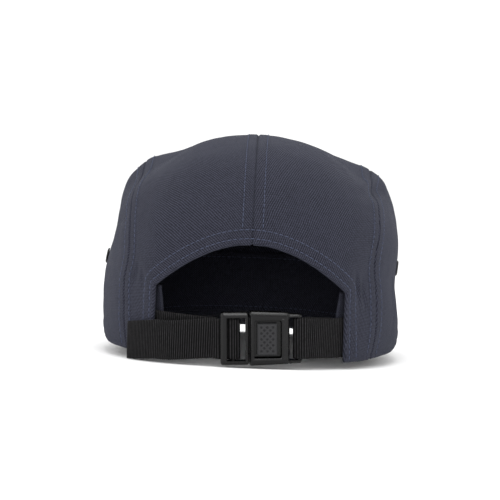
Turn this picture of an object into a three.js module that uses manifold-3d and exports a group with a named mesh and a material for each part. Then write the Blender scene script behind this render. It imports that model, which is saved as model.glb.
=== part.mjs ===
// A five-panel jockey cap: soft crown with an arched opening at the back, a stiff peak in front,
// and a webbing strap with a centre-push buckle across the opening.
// Millimetres, +Z up, the front towards -Y, the wearer's left towards +X.
// The cap is worked out over its rim (z = 0 there) and then tipped onto the surface that it lies on.
import * as THREE from "three";
import { mergeVertices } from "three/addons/utils/BufferGeometryUtils.js";
import Module from "manifold-3d";

const { degToRad, radToDeg, lerp, smoothstep } = THREE.MathUtils;
const wasm = await Module();
wasm.setup();

// Crown, over the cloth
const CROWN_HALF_WIDTH = 77;
const CROWN_HALF_LENGTH = 97;
const BELLY_HEIGHT = 16; // from the rim up to the widest girth
const CROWN_RISE = 87; // from the widest girth up to the top
const CROWN_UNDER = 54; // how deep the curve below the widest girth would run if it closed
const PLAN_SQUARENESS = 2.2; // 2 is an ellipse, more is squarer
const FRONT_SQUARENESS = 2.37;
const BACK_SQUARENESS = 2.7;
const CLOTH = 1.4;
const SEAM_GAP = 0.4;

// Seams, and the opening at the back
const FRONT_SEAM_ANGLE = 60.7; // round the rim from the middle of the front, degrees
const SIDE_SEAM_ANGLE = 129.2;
const OPENING_HALF_WIDTH = 48;
const ARCH_CORNER_HEIGHT = 34.4;
const ARCH_TOP_HEIGHT = 58;
const ARCH_POWER = 1.95; // 2 is a parabola

// Peak
const PEAK_PROJECTION = 65;
const PEAK_HALF_WIDTH = 72;
const PEAK_THICKNESS = 2.6;
const PEAK_LAP = 1; // how far it stands up in front of the rim
const PEAK_GAP = 0.4; // between it and the front panel
const PEAK_FALL = 0.21; // drop for each millimetre forwards
const PEAK_CURL = 14; // extra drop of its sides
const PEAK_SQUARENESS = 2.4;

// Sweatband
const BAND_HEIGHT = 33.5;
const BAND_FOOT = 0.8; // its lower edge above the rim
const BAND_THICKNESS = 1.2;
const BAND_LEAD = 5; // how far its foot runs on into the opening
const BAND_SLACK = 0.5; // it passes the flat webbing this much more loosely
const BAND_STEP_FROM = 14; // it steps inwards from here to there before the webbing's end, degrees
const BAND_STEP_TO = 6;

// Eyelets
const EYELET_OVER_BAND = 5.5; // from the sweatband's top edge up to their middles
const EYELET_REAR = -2; // the rear one, behind (above 0) or in front of the middle of the crown
const EYELET_SPACING = 24;
const EYELET_HOLE = 1.9;
const EYELET_BARREL = 2.4;
const EYELET_FLANGE = 4;
const EYELET_FLANGE_THICKNESS = 0.65;
const EYELET_SEAT = 0.5; // between its flanges and the curved cloth

// Webbing
const WEBBING_WIDTH = 20;
const WEBBING_THICKNESS = 1.2;
const STRAP_HEIGHT = 11.4; // middle of the webbing above the rim
const STRAP_LAP = 9; // how far it is sewn in behind each leg
const STRAP_EDGE = 2; // it lies at its sewn depth from this far before the opening's edge
const STRAP_LEAVING = 1; // how far it runs straight on where it leaves the buckle
const TAIL_REACH = 58.5; // how far left of the middle the loose tail ends
const TAIL_END_HEIGHT = 5;
const TAIL_STAND_OFF = 2.4; // how far the tail's end stands off the cloth
const TAIL_EDGE = 3; // it clears the leg from this far before the opening's edge
const TAIL_EDGE_GAP = 1.2; // between the tail and the cloth there
const TAIL_EDGE_DROP = 0.55; // share of its drop that it has made there
const RETURN_LENGTH = 15; // the short end that is sewn back behind the right strap

// Buckle, its length along the strap
const BUCKLE_SHIFT = 6; // its middle lies this far to the wearer's right
const BUCKLE_INSET = 8.6; // its back lies this far inside the crown's curve
const BUCKLE_TILT = 2.5; // its left end hangs lower, degrees
const BUCKLE_TURN = 4; // it turns with the curve of the strap, degrees
const BUCKLE_JOIN = 6.05; // from its middle to the line where the halves meet
const RAIL = 2.1;
const RAIL_PLAY = 0.6;
const BAR_PLAY = 0.4; // how far the webbing runs straight past the slide bar
const LADDER_LENGTH = 13.75;
const LADDER_DEPTH = 6.4;
const LADDER_OUTER_BAR = 2.9;
const LADDER_INNER_BAR = 1.5;
const LADDER_SLOT = 2.7; // what stays open between the webbing and the inner bar
const SLIDE_BAR_WIDTH = 2;
const SLIDE_BAR_THICKNESS = 1.6;
const SOCKET_LENGTH = 25.75;
const SOCKET_BODY = 19.65;
const SOCKET_DEPTH = 8.2;
const SOCKET_WALL = 1.6;
const SOCKET_END_DEPTH = 5.2;
const WINDOW_MARGIN = 2.25;
const WINDOW_LENGTH = 13.5;
const WINDOW_HEIGHT = 18.6;
const TONGUE_THICKNESS = 1.8;
const BUTTON_MARGIN = 1.5;
const BUTTON_LENGTH = 9.8;
const BUTTON_HEIGHT = 15.7;
const MOULD_ROUND = 1.6;
const MOULD_BEVEL = 0.5;

const CLEARANCE = 0.3; // between pieces that touch
const BUCKLE_HEIGHT = WEBBING_WIDTH + 2 * (RAIL_PLAY + RAIL);

// Swells and dents of the soft crown. at: shares of half width, half length and rise. run: the way
// it runs. length, width, height: shares of the half width, below 0 for a dent.
const FOLDS = [
  {
    name: "left front corner",
    at: [0.78, -0.44, 0.72],
    run: [0.2, 0.6, 0.1],
    length: 0.28, width: 0.2, height: 0.104,
  },
  {
    name: "right front corner",
    at: [-0.78, -0.44, 0.72],
    run: [-0.2, 0.6, 0.1],
    length: 0.28, width: 0.2, height: 0.104,
  },
  {
    name: "ridge over the centre seam",
    at: [0, 0.05, 1],
    run: [0, 1, 0],
    length: 0.8, width: 0.3, height: 0.018,
  },
  {
    name: "left slump of the top",
    at: [0.6, -0.02, 0.86],
    run: [0.1, 1, 0],
    length: 0.36, width: 0.15, height: -0.036,
  },
  {
    name: "right slump of the top",
    at: [-0.62, 0, 0.84],
    run: [-0.1, 1, 0],
    length: 0.36, width: 0.15, height: -0.044,
  },
  {
    name: "left side dent",
    at: [0.95, 0.1, 0.42],
    run: [0, 1, 0],
    length: 0.4, width: 0.14, height: -0.018,
  },
  {
    name: "right side bulge",
    at: [-0.95, 0.1, 0.52],
    run: [0, 1, 0.1],
    length: 0.4, width: 0.14, height: 0.016,
  },
  {
    name: "right side dent",
    at: [-0.97, 0.16, 0.2],
    run: [0, 1, 0.15],
    length: 0.36, width: 0.13, height: -0.045,
  },
  {
    name: "left hem dent",
    at: [0.72, 0.62, 0.3],
    run: [0.3, -0.3, 1],
    length: 0.2, width: 0.09, height: -0.018,
  },
  {
    name: "right hem dent",
    at: [-0.72, 0.64, 0.24],
    run: [-0.5, -0.3, 1],
    length: 0.2, width: 0.09, height: -0.024,
  },
];
const FOLD_DEPTH = 0.4; // how far through the crown a fold is felt, in half widths

// Seam rows: shares of half width, half length and rise, from the top down
const CORNER_ROW = { side: 0.8, back: -0.475, up: 0.78 };
const TOP_SEAM_ROWS = [
  { side: 0, back: -0.52, up: 0.95 },
  { side: 0.42, back: -0.515, up: 0.9 },
  CORNER_ROW,
];
const FRONT_SEAM_ROWS = [
  CORNER_ROW,
  { side: 0.87, back: -0.5, up: 0.45 },
  { side: 0.895, back: -0.51, up: 0.15 },
];
const SIDE_SEAM_ROWS = [
  { side: 0.758, back: -0.05, up: 0.761 },
  { side: 0.784, back: 0.258, up: 0.67 },
  { side: 0.797, back: 0.433, up: 0.568 },
  { side: 0.808, back: 0.588, up: 0.364 },
];
const SIDE_SEAM_KNEE = { side: 0.813, back: 0.588 }; // plan direction at the height of the arch's corners
const TIP_SHARE = 0.06; // share of the top seam that the side panel's tip takes

const vector = (x, y, z) => new THREE.Vector3(x, y, z);

// The crown as a squared ellipsoid, in shares of its half sizes
function squareness(side, back) {
  const across = side * CROWN_HALF_WIDTH;
  const along = back * CROWN_HALF_LENGTH;
  const backward = along / Math.max(Math.hypot(across, along), 1e-9);
  return lerp(FRONT_SQUARENESS, BACK_SQUARENESS, 0.5 + 0.5 * backward);
}

function planGirth(side, back) {
  return (Math.abs(side) ** PLAN_SQUARENESS + Math.abs(back) ** PLAN_SQUARENESS) ** (1 / PLAN_SQUARENESS);
}

function ontoCrown(share) {
  const power = squareness(share.x, share.y);
  const reach = (planGirth(share.x, share.y) ** power + Math.abs(share.z) ** power) ** (-1 / power);
  return share.clone().multiplyScalar(reach);
}

function fromBelly(share) {
  const reach = share.z > 0 ? CROWN_RISE : CROWN_UNDER;
  return vector(share.x * CROWN_HALF_WIDTH, share.y * CROWN_HALF_LENGTH, share.z * reach);
}

const foldFrames = FOLDS.map((fold) => {
  const middle = fromBelly(ontoCrown(vector(...fold.at)));
  const halfSizes = vector(CROWN_HALF_WIDTH, CROWN_HALF_LENGTH, CROWN_RISE);
  const out = middle.clone().divide(halfSizes).divide(halfSizes).normalize();
  const run = vector(...fold.run);
  run.addScaledVector(out, -run.dot(out)).normalize();
  return { ...fold, middle, out, run, across: out.clone().cross(run) };
});

function foldHeight(point) {
  let height = 0;
  for (const fold of foldFrames) {
    const from = point.clone().sub(fold.middle).divideScalar(CROWN_HALF_WIDTH);
    const along = from.dot(fold.run) / fold.length;
    const across = from.dot(fold.across) / fold.width;
    const through = from.dot(fold.out) / FOLD_DEPTH;
    height += fold.height * Math.exp(-0.5 * (along ** 2 + across ** 2 + through ** 2));
  }
  return height * CROWN_HALF_WIDTH;
}

function crownPoint(share) {
  const point = fromBelly(ontoCrown(share));
  const steadied = smoothstep(point.z + BELLY_HEIGHT, 0, BELLY_HEIGHT);
  point.addScaledVector(point.clone().normalize(), foldHeight(point) * steadied);
  point.z += BELLY_HEIGHT;
  return point;
}

function crownNormal(share) {
  const step = 0.01;
  const upright = Math.abs(share.z) > 0.7 ? vector(1, 0, 0) : vector(0, 0, 1);
  const first = share.clone().cross(upright).normalize();
  const second = share.clone().cross(first).normalize();
  const change = (way) => crownPoint(share.clone().addScaledVector(way, step))
    .sub(crownPoint(share.clone().addScaledVector(way, -step)));
  const normal = change(first).cross(change(second)).normalize();
  return normal.dot(share) < 0 ? normal.negate() : normal;
}

// A point inside (above 0) or outside (below 0) the crown's surface
function offCrown(share, inwards) {
  return crownPoint(share).addScaledVector(crownNormal(share), -inwards);
}

function riseAt(height) {
  return (height - BELLY_HEIGHT) / (height > BELLY_HEIGHT ? CROWN_RISE : CROWN_UNDER);
}

function girthAt(height, side, back) {
  const power = squareness(side, back);
  return (1 - Math.abs(riseAt(height)) ** power) ** (1 / power);
}

// Places on the crown: in a plan direction, at a distance sideways, at a distance back
function towards(side, back, height) {
  const scale = girthAt(height, side, back) / planGirth(side, back);
  return vector(side * scale, back * scale, riseAt(height));
}

function roundTheRim(angle, height) {
  return towards(Math.sin(degToRad(angle)), -Math.cos(degToRad(angle)), height);
}

function restOfGirth(share, height, other) {
  return (girthAt(height, ...other) ** PLAN_SQUARENESS - Math.abs(share) ** PLAN_SQUARENESS)
    ** (1 / PLAN_SQUARENESS);
}

function backAt(x, height) {
  const side = x / CROWN_HALF_WIDTH;
  let back = 1;
  for (let pass = 0; pass < 6; pass += 1) back = restOfGirth(side, height, [side, back]);
  return vector(side, back, riseAt(height));
}

function sideAt(y, height, hand) {
  const back = y / CROWN_HALF_LENGTH;
  let side = 1;
  for (let pass = 0; pass < 6; pass += 1) side = restOfGirth(back, height, [side, back]);
  return vector(hand * side, back, riseAt(height));
}

function angleOf(share) {
  return radToDeg(Math.atan2(share.x, -share.y));
}

// A closed wall between an outer and an inner skin, made of one or more grids that share corners
class Wall {
  constructor() {
    this.outer = [];
    this.inner = [];
    this.faces = [];
    this.known = new Map();
  }

  corner({ outer, inner }) {
    const key = outer.toArray().map((value) => Math.round(value * 1e4)).join();
    if (!this.known.has(key)) {
      this.known.set(key, this.outer.length);
      this.outer.push(outer);
      this.inner.push(inner);
    }
    return this.known.get(key);
  }

  addGrid(columns, rows, at) {
    const ids = [];
    for (let row = 0; row <= rows; row += 1) {
      for (let column = 0; column <= columns; column += 1) ids.push(this.corner(at(column, row)));
    }
    for (let row = 0; row < rows; row += 1) {
      for (let column = 0; column < columns; column += 1) {
        const first = row * (columns + 1) + column;
        const below = first + columns + 1;
        this.faces.push([ids[first], ids[below], ids[first + 1]]);
        this.faces.push([ids[first + 1], ids[below], ids[below + 1]]);
      }
    }
    return this;
  }

  geometry() {
    const count = this.outer.length;
    const points = [...this.outer, ...this.inner];
    const faces = [...this.faces];
    for (const [a, b, c] of this.faces) faces.push([c + count, b + count, a + count]);
    const edges = new Set();
    for (const [a, b, c] of this.faces) [[a, b], [b, c], [c, a]].forEach((edge) => edges.add(edge.join()));
    for (const edge of edges) {
      const [a, b] = edge.split(",").map(Number);
      if (edges.has([b, a].join())) continue;
      faces.push([b, a, a + count], [b, a + count, b + count]);
    }
    return closedGeometry(points, faces);
  }
}

function closedGeometry(points, faces) {
  let volume = 0;
  for (const [a, b, c] of faces) volume += points[a].dot(points[b].clone().cross(points[c]));
  const order = volume < 0 ? faces.map(([a, b, c]) => [a, c, b]) : faces;
  const geometry = new THREE.BufferGeometry().setFromPoints(points);
  geometry.setIndex(order.flat());
  geometry.computeVertexNormals();
  return geometry;
}

// Booleans
function solidOf(geometry) {
  const bare = geometry.clone();
  bare.deleteAttribute("normal");
  bare.deleteAttribute("uv");
  const merged = mergeVertices(bare, 1e-4);
  return new wasm.Manifold(new wasm.Mesh({
    numProp: 3,
    vertProperties: merged.attributes.position.array,
    triVerts: new Uint32Array(merged.index.array),
  }));
}

function geometryOf(solid) {
  const mesh = solid.getMesh();
  const geometry = new THREE.BufferGeometry();
  geometry.setAttribute("position", new THREE.BufferAttribute(mesh.vertProperties.slice(), 3));
  geometry.setIndex([...mesh.triVerts]);
  geometry.computeVertexNormals();
  return geometry;
}

// A patch of the crown spanned by four edges, each a function of a share that gives a place in shares.
// start and end run across, left and right run down. A seam side draws back by half the seam gap.
function patch({ columns, rows, start, end, left, right, seams }) {
  const corners = [start(0), start(1), end(0), end(1)];
  const place = (u, v) => {
    const sum = start(u).multiplyScalar(1 - v).addScaledVector(end(u), v);
    sum.addScaledVector(left(v), 1 - u).addScaledVector(right(v), u);
    sum.addScaledVector(corners[0], -(1 - u) * (1 - v)).addScaledVector(corners[1], -u * (1 - v));
    return sum.addScaledVector(corners[2], -(1 - u) * v).addScaledVector(corners[3], -u * v);
  };
  const drawBack = (index, count, starts, ends, lineAt) => {
    const share = index / count;
    const sewn = (index === 0 && starts) || (index === count && ends);
    if (!sewn) return share;
    let length = 0;
    const steps = 12;
    for (let step = 0; step < steps; step += 1) {
      length += crownPoint(lineAt(step / steps)).distanceTo(crownPoint(lineAt((step + 1) / steps)));
    }
    const inset = 0.5 * SEAM_GAP / length;
    return index === 0 ? inset : 1 - inset;
  };
  const at = (column, row) => {
    const u = drawBack(column, columns, seams.left, seams.right, (share) => place(share, row / rows));
    const v = drawBack(row, rows, seams.start, seams.end, (share) => place(column / columns, share));
    const share = ontoCrown(place(u, v));
    return { outer: crownPoint(share), inner: offCrown(share, CLOTH) };
  };
  return { columns, rows, at };
}

// Seam curves, in shares
const rowShare = (row, hand) => ontoCrown(vector(hand * row.side, row.back, row.up));
const topSeam = new THREE.CatmullRomCurve3([
  ...TOP_SEAM_ROWS.slice(1).reverse().map((row) => rowShare(row, -1)),
  ...TOP_SEAM_ROWS.map((row) => rowShare(row, 1)),
]);

function frontSeam(hand) {
  const rows = FRONT_SEAM_ROWS.map((row) => rowShare(row, hand));
  return new THREE.CatmullRomCurve3([...rows, roundTheRim(hand * FRONT_SEAM_ANGLE, 0)]);
}

function stretchOf(curve, from, to) {
  const points = [];
  const steps = 24;
  for (let step = 0; step <= steps; step += 1) points.push(curve.getPoint(lerp(from, to, step / steps)));
  return new THREE.CatmullRomCurve3(points);
}

function sideSeam(hand) {
  const points = [topSeam.getPointAt(0.5 + 0.5 * hand * (1 - TIP_SHARE))];
  for (const row of SIDE_SEAM_ROWS) points.push(rowShare(row, hand));
  const knee = towards(hand * SIDE_SEAM_KNEE.side, SIDE_SEAM_KNEE.back, ARCH_CORNER_HEIGHT);
  points.push(knee);
  const kneeIndex = points.length - 1;
  for (const share of [0.5, 0]) {
    const angle = lerp(SIDE_SEAM_ANGLE, Math.abs(angleOf(knee)), share);
    points.push(roundTheRim(hand * angle, share * ARCH_CORNER_HEIGHT));
  }
  const whole = new THREE.CatmullRomCurve3(points);
  const kneeShare = kneeIndex / (points.length - 1);
  return {
    whole: stretchOf(whole, 0, 1),
    upper: stretchOf(whole, 0, kneeShare),
    lower: stretchOf(whole, kneeShare, 1),
  };
}

function archHeight(x) {
  const drop = (Math.abs(x) / OPENING_HALF_WIDTH) ** ARCH_POWER;
  return lerp(ARCH_TOP_HEIGHT, ARCH_CORNER_HEIGHT, drop);
}

// Crown panels
function frontPanel() {
  const columns = 20;
  const rows = 12;
  const wall = patch({
    columns,
    rows,
    start: (u) => topSeam.getPointAt(1 - u),
    end: (u) => roundTheRim(lerp(FRONT_SEAM_ANGLE, -FRONT_SEAM_ANGLE, u), 0),
    left: (v) => frontSeam(1).getPointAt(v),
    right: (v) => frontSeam(-1).getPointAt(v),
    seams: { start: true, left: true, right: true },
  });
  return new Wall().addGrid(columns, rows, wall.at).geometry();
}

function topPanel(hand) {
  const columns = 10;
  const cornerColumn = 7;
  const rows = 16;
  const legRows = 5;
  const cornerShare = cornerColumn / columns;
  const seam = sideSeam(hand);
  const front = topSeam.getPointAt(0.5);
  const archTop = backAt(0, ARCH_TOP_HEIGHT);
  const archCorner = backAt(hand * OPENING_HALF_WIDTH, ARCH_CORNER_HEIGHT);
  const knee = seam.upper.getPointAt(1);
  const frontTilt = Math.atan2(front.y, front.z);
  const archTilt = Math.atan2(archTop.y, archTop.z);
  const legTop = (share) => ontoCrown(archCorner.clone().lerp(knee, share));
  const arch = (share) => {
    const x = hand * OPENING_HALF_WIDTH * share;
    return backAt(x, archHeight(x));
  };
  const main = patch({
    columns,
    rows,
    start: (u) => topSeam.getPointAt(0.5 + 0.5 * hand * (1 - TIP_SHARE) * u),
    end: (u) => (u < cornerShare ? arch(u / cornerShare) : legTop((u - cornerShare) / (1 - cornerShare))),
    left: (v) => {
      const tilt = lerp(frontTilt, archTilt, v);
      return ontoCrown(vector(0, Math.sin(tilt), Math.cos(tilt)));
    },
    right: (v) => seam.upper.getPointAt(v),
    seams: { start: true, left: true, right: true },
  });
  const openingAngle = angleOf(backAt(hand * OPENING_HALF_WIDTH, 0));
  const leg = patch({
    columns: columns - cornerColumn,
    rows: legRows,
    start: legTop,
    end: (u) => roundTheRim(lerp(openingAngle, hand * SIDE_SEAM_ANGLE, u), 0),
    left: (v) => backAt(hand * OPENING_HALF_WIDTH, ARCH_CORNER_HEIGHT * (1 - v)),
    right: (v) => seam.lower.getPointAt(v),
    seams: { right: true },
  });
  const legAt = (column, row) => (row === 0 ? main.at(cornerColumn + column, rows) : leg.at(column, row));
  return new Wall().addGrid(columns, rows, main.at).addGrid(leg.columns, legRows, legAt).geometry();
}

function eyeletShares(hand) {
  return [EYELET_REAR, EYELET_REAR - EYELET_SPACING].map((y) => sideAt(y, BAND_HEIGHT + EYELET_OVER_BAND, hand));
}

function alongNormal(share) {
  const turn = new THREE.Quaternion().setFromUnitVectors(vector(0, 0, 1), crownNormal(share));
  return new THREE.Matrix4().compose(crownPoint(share), turn, vector(1, 1, 1));
}

function sidePanel(hand) {
  const columns = 9;
  const rows = 18;
  const seam = sideSeam(hand);
  const front = frontSeam(hand);
  const wall = patch({
    columns,
    rows,
    start: (u) => topSeam.getPointAt(0.5 + 0.5 * hand * (1 - TIP_SHARE * u)),
    end: (u) => roundTheRim(hand * lerp(FRONT_SEAM_ANGLE, SIDE_SEAM_ANGLE, u), 0),
    left: (v) => front.getPointAt(v),
    right: (v) => seam.whole.getPointAt(v),
    seams: { start: true, left: true, right: true },
  });
  let solid = solidOf(new Wall().addGrid(columns, rows, wall.at).geometry());
  for (const share of eyeletShares(hand)) {
    const radius = EYELET_BARREL + CLEARANCE;
    const drill = new THREE.CylinderGeometry(radius, radius, 8 * CLOTH, 12).rotateX(Math.PI / 2);
    solid = solid.subtract(solidOf(drill.applyMatrix4(alongNormal(share))));
  }
  return geometryOf(solid);
}

function eyelet() {
  const back = -CLOTH - EYELET_SEAT;
  const front = EYELET_SEAT;
  const across = (share) => lerp(EYELET_BARREL, EYELET_FLANGE, share);
  const profile = [
    [EYELET_HOLE, back - EYELET_FLANGE_THICKNESS],
    [across(0.7), back - EYELET_FLANGE_THICKNESS],
    [across(0.7), back],
    [EYELET_BARREL, back],
    [EYELET_BARREL, front],
    [EYELET_FLANGE, front],
    [across(0.8), front + EYELET_FLANGE_THICKNESS],
    [across(0.1), front + EYELET_FLANGE_THICKNESS],
    [EYELET_HOLE, front + 0.4 * EYELET_FLANGE_THICKNESS],
  ];
  const outline = [...profile, profile[0]].map(([radius, height]) => new THREE.Vector2(radius, height));
  return new THREE.LatheGeometry(outline, 12).rotateX(Math.PI / 2);
}

// Peak: a crescent plate from the rim to its outer edge, falling forwards and curling at its sides
function peak() {
  const columns = 28;
  const rows = 6;
  const inner = (share) => {
    const place = roundTheRim(lerp(FRONT_SEAM_ANGLE, -FRONT_SEAM_ANGLE, share), 0);
    return offCrown(place, -PEAK_GAP).setZ(0);
  };
  const end = inner(0);
  const reach = end.y - inner(0.5).y + PEAK_PROJECTION;
  const outline = [];
  const steps = 120;
  for (let step = 0; step <= steps; step += 1) {
    const angle = Math.PI * (0.5 - step / steps);
    const side = Math.sign(Math.sin(angle)) * Math.abs(Math.sin(angle)) ** (2 / PEAK_SQUARENESS);
    const forward = Math.abs(Math.cos(angle)) ** (2 / PEAK_SQUARENESS);
    outline.push(vector(PEAK_HALF_WIDTH * side, end.y - reach * forward, 0));
  }
  const outer = new THREE.CatmullRomCurve3(outline);
  const at = (column, row) => {
    const from = inner(column / columns);
    const to = outer.getPointAt(column / columns);
    const place = from.clone().lerp(to, row / rows);
    const forward = place.distanceTo(from);
    const curl = PEAK_CURL * (forward / PEAK_PROJECTION) * (place.x / PEAK_HALF_WIDTH) ** 2;
    place.z = PEAK_LAP - PEAK_FALL * forward - curl;
    return { outer: place, inner: place.clone().setZ(place.z - PEAK_THICKNESS) };
  };
  return new Wall().addGrid(columns, rows, at).geometry();
}

// Sweatband: it lies against the cloth, and its ends pass inside the sewn ends of the webbing
function sweatband() {
  const columns = 48;
  const rows = 4;
  const sewnAngle = angleOf(backAt(OPENING_HALF_WIDTH + STRAP_LAP, STRAP_HEIGHT));
  const at = (column, row) => {
    const height = lerp(BAND_FOOT, BAND_HEIGHT, row / rows);
    const lead = BAND_LEAD * (1 - row / rows);
    const end = angleOf(backAt(OPENING_HALF_WIDTH - lead, height));
    const across = 2 * column / columns - 1;
    const share = roundTheRim(across * end, height);
    const angle = Math.abs(across * end);
    const behindWebbing = smoothstep(angle, sewnAngle - BAND_STEP_FROM, sewnAngle - BAND_STEP_TO);
    const passing = WEBBING_THICKNESS + CLEARANCE + BAND_SLACK;
    const inwards = CLOTH + CLEARANCE + behindWebbing * passing;
    return { outer: offCrown(share, inwards), inner: offCrown(share, inwards + BAND_THICKNESS) };
  };
  return new Wall().addGrid(columns, rows, at).geometry();
}

// The buckle's own frame: x along the strap to the wearer's left, y outwards, z up, from its back
const buckleFrame = new THREE.Matrix4()
  .makeTranslation(-BUCKLE_SHIFT, crownPoint(backAt(0, STRAP_HEIGHT)).y - BUCKLE_INSET, STRAP_HEIGHT)
  .multiply(new THREE.Matrix4().makeRotationZ(degToRad(BUCKLE_TURN)))
  .multiply(new THREE.Matrix4().makeRotationY(degToRad(BUCKLE_TILT)));
const buckleUp = vector(0, 0, 1).transformDirection(buckleFrame);
const inBuckle = (along, depth) => vector(along, depth, 0).applyMatrix4(buckleFrame);

const ladderStart = BUCKLE_JOIN + 0.5 * CLEARANCE;
const ladderEnd = ladderStart + LADDER_LENGTH;
const ladderBack = 0.5 * (SOCKET_DEPTH - LADDER_DEPTH);
const socketStart = BUCKLE_JOIN - 0.5 * CLEARANCE;
const socketEnd = socketStart - SOCKET_LENGTH;
const slotHeight = WEBBING_WIDTH + 2 * RAIL_PLAY;
const bendRadius = 0.5 * (SLIDE_BAR_THICKNESS + WEBBING_THICKNESS) + CLEARANCE;
const baseDepth = ladderBack + CLEARANCE + 0.5 * WEBBING_THICKNESS;
const slideBarDepth = baseDepth + bendRadius;
const slideBarStart = ladderStart + LADDER_INNER_BAR + LADDER_SLOT + bendRadius + 0.5 * WEBBING_THICKNESS;
const tailDepth = baseDepth + WEBBING_THICKNESS + CLEARANCE;
const endBarDepth = 0.5 * SOCKET_DEPTH;
const endBarStart = socketEnd + SLIDE_BAR_WIDTH;

// Mouldings, from one end, depth and height to the other
function box(alongFrom, alongTo, depthFrom, depthTo, height) {
  const shape = new THREE.BoxGeometry(alongTo - alongFrom, depthTo - depthFrom, height);
  return solidOf(shape.translate(0.5 * (alongFrom + alongTo), 0.5 * (depthFrom + depthTo), 0));
}

function roundedBlock(alongFrom, alongTo, depthFrom, depthTo, height) {
  const halfLength = 0.5 * (alongTo - alongFrom) - MOULD_BEVEL;
  const halfHeight = 0.5 * height - MOULD_BEVEL;
  const shape = new THREE.Shape();
  const quarter = 0.5 * Math.PI;
  const turns = [[1, 1], [-1, 1], [-1, -1], [1, -1]];
  turns.forEach(([alongSign, upSign], turn) => {
    const along = alongSign * (halfLength - MOULD_ROUND);
    const up = upSign * (halfHeight - MOULD_ROUND);
    shape.absarc(along, up, MOULD_ROUND, turn * quarter, (turn + 1) * quarter);
  });
  const depth = depthTo - depthFrom;
  const block = new THREE.ExtrudeGeometry(shape, {
    depth: depth - 2 * MOULD_BEVEL,
    curveSegments: 3,
    bevelSize: MOULD_BEVEL,
    bevelThickness: MOULD_BEVEL,
    bevelSegments: 1,
  });
  block.translate(0, 0, MOULD_BEVEL - 0.5 * depth).rotateX(-Math.PI / 2);
  return solidOf(block.translate(0.5 * (alongFrom + alongTo), 0.5 * (depthFrom + depthTo), 0));
}

function bucklePlug() {
  const front = ladderBack + LADDER_DEPTH;
  const innerBar = ladderStart + LADDER_INNER_BAR;
  const outerBar = ladderEnd - LADDER_OUTER_BAR;
  const slideBarHalf = 0.5 * SLIDE_BAR_THICKNESS;
  const tongueDepth = 0.5 * (SOCKET_DEPTH - TONGUE_THICKNESS);
  const windowEnd = socketStart - WINDOW_MARGIN;
  const buttonEnd = windowEnd - BUTTON_MARGIN;
  const tongueHeight = WINDOW_HEIGHT - 2 * CLEARANCE;
  const behindBar = tailDepth + 0.5 * WEBBING_THICKNESS + CLEARANCE;
  return geometryOf(roundedBlock(ladderStart, ladderEnd, ladderBack, front, BUCKLE_HEIGHT)
    .subtract(box(innerBar, outerBar, 0, SOCKET_DEPTH, slotHeight))
    .subtract(box(innerBar, ladderEnd + 1, 0, behindBar, slotHeight))
    .add(box(slideBarStart, slideBarStart + SLIDE_BAR_WIDTH, slideBarDepth - slideBarHalf,
      slideBarDepth + slideBarHalf, slotHeight + RAIL))
    .add(box(windowEnd - WINDOW_LENGTH, ladderStart + 0.5 * LADDER_INNER_BAR, tongueDepth,
      tongueDepth + TONGUE_THICKNESS, tongueHeight))
    .add(box(buttonEnd - BUTTON_LENGTH, buttonEnd, 0.5 * SOCKET_DEPTH, SOCKET_DEPTH - CLEARANCE,
      BUTTON_HEIGHT)));
}

function buckleSocket() {
  const bodyEnd = socketStart - SOCKET_BODY;
  const windowEnd = socketStart - WINDOW_MARGIN;
  const cavityEnd = windowEnd - WINDOW_LENGTH - CLEARANCE;
  const endBack = 0.5 * (SOCKET_DEPTH - SOCKET_END_DEPTH);
  const barHalf = 0.5 * SLIDE_BAR_THICKNESS;
  const overlap = MOULD_ROUND + MOULD_BEVEL;
  const cavity = box(cavityEnd, socketStart + 1, SOCKET_WALL, SOCKET_DEPTH - SOCKET_WALL, WINDOW_HEIGHT);
  const window = box(windowEnd - WINDOW_LENGTH, windowEnd, 0.5 * SOCKET_DEPTH, SOCKET_DEPTH + 1,
    WINDOW_HEIGHT);
  const end = roundedBlock(socketEnd, bodyEnd + overlap, endBack, endBack + SOCKET_END_DEPTH, BUCKLE_HEIGHT)
    .subtract(box(socketEnd - 1, bodyEnd, 0, SOCKET_DEPTH, slotHeight))
    .add(box(socketEnd, endBarStart, endBarDepth - barHalf, endBarDepth + barHalf, slotHeight + RAIL));
  return geometryOf(roundedBlock(bodyEnd, socketStart, 0, SOCKET_DEPTH, BUCKLE_HEIGHT)
    .add(end)
    .subtract(cavity)
    .subtract(window));
}

// Webbing: a flat band through stations, each with its middle and the way that its width runs
function webbing(stations) {
  const points = [];
  const faces = [];
  const last = stations.length - 1;
  stations.forEach(({ middle, across }, index) => {
    const before = middle.clone().sub(stations[Math.max(index - 1, 0)].middle).normalize();
    const after = stations[Math.min(index + 1, last)].middle.clone().sub(middle).normalize();
    if (index === 0) before.copy(after);
    if (index === last) after.copy(before);
    const forward = before.clone().add(after).normalize();
    const mitre = 1 / forward.dot(before);
    const face = across.clone().cross(forward).normalize();
    for (const [wide, thick] of [[-1, -1], [1, -1], [1, 1], [-1, 1]]) {
      points.push(middle.clone()
        .addScaledVector(across, 0.5 * wide * WEBBING_WIDTH)
        .addScaledVector(face, 0.5 * thick * WEBBING_THICKNESS * mitre));
    }
  });
  for (let index = 0; index < last; index += 1) {
    for (let side = 0; side < 4; side += 1) {
      const a = 4 * index + side;
      const b = 4 * index + (side + 1) % 4;
      faces.push([a, b, a + 4], [b, b + 4, a + 4]);
    }
  }
  const end = 4 * last;
  faces.push([0, 2, 1], [0, 3, 2], [end, end + 1, end + 2], [end, end + 2, end + 3]);
  return closedGeometry(points, faces);
}

function onGirth(x, height, inwards) {
  const low = offCrown(backAt(x, height - 0.5 * WEBBING_WIDTH), inwards);
  const high = offCrown(backAt(x, height + 0.5 * WEBBING_WIDTH), inwards);
  return { middle: low.clone().lerp(high, 0.5), across: high.sub(low).normalize() };
}

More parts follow.
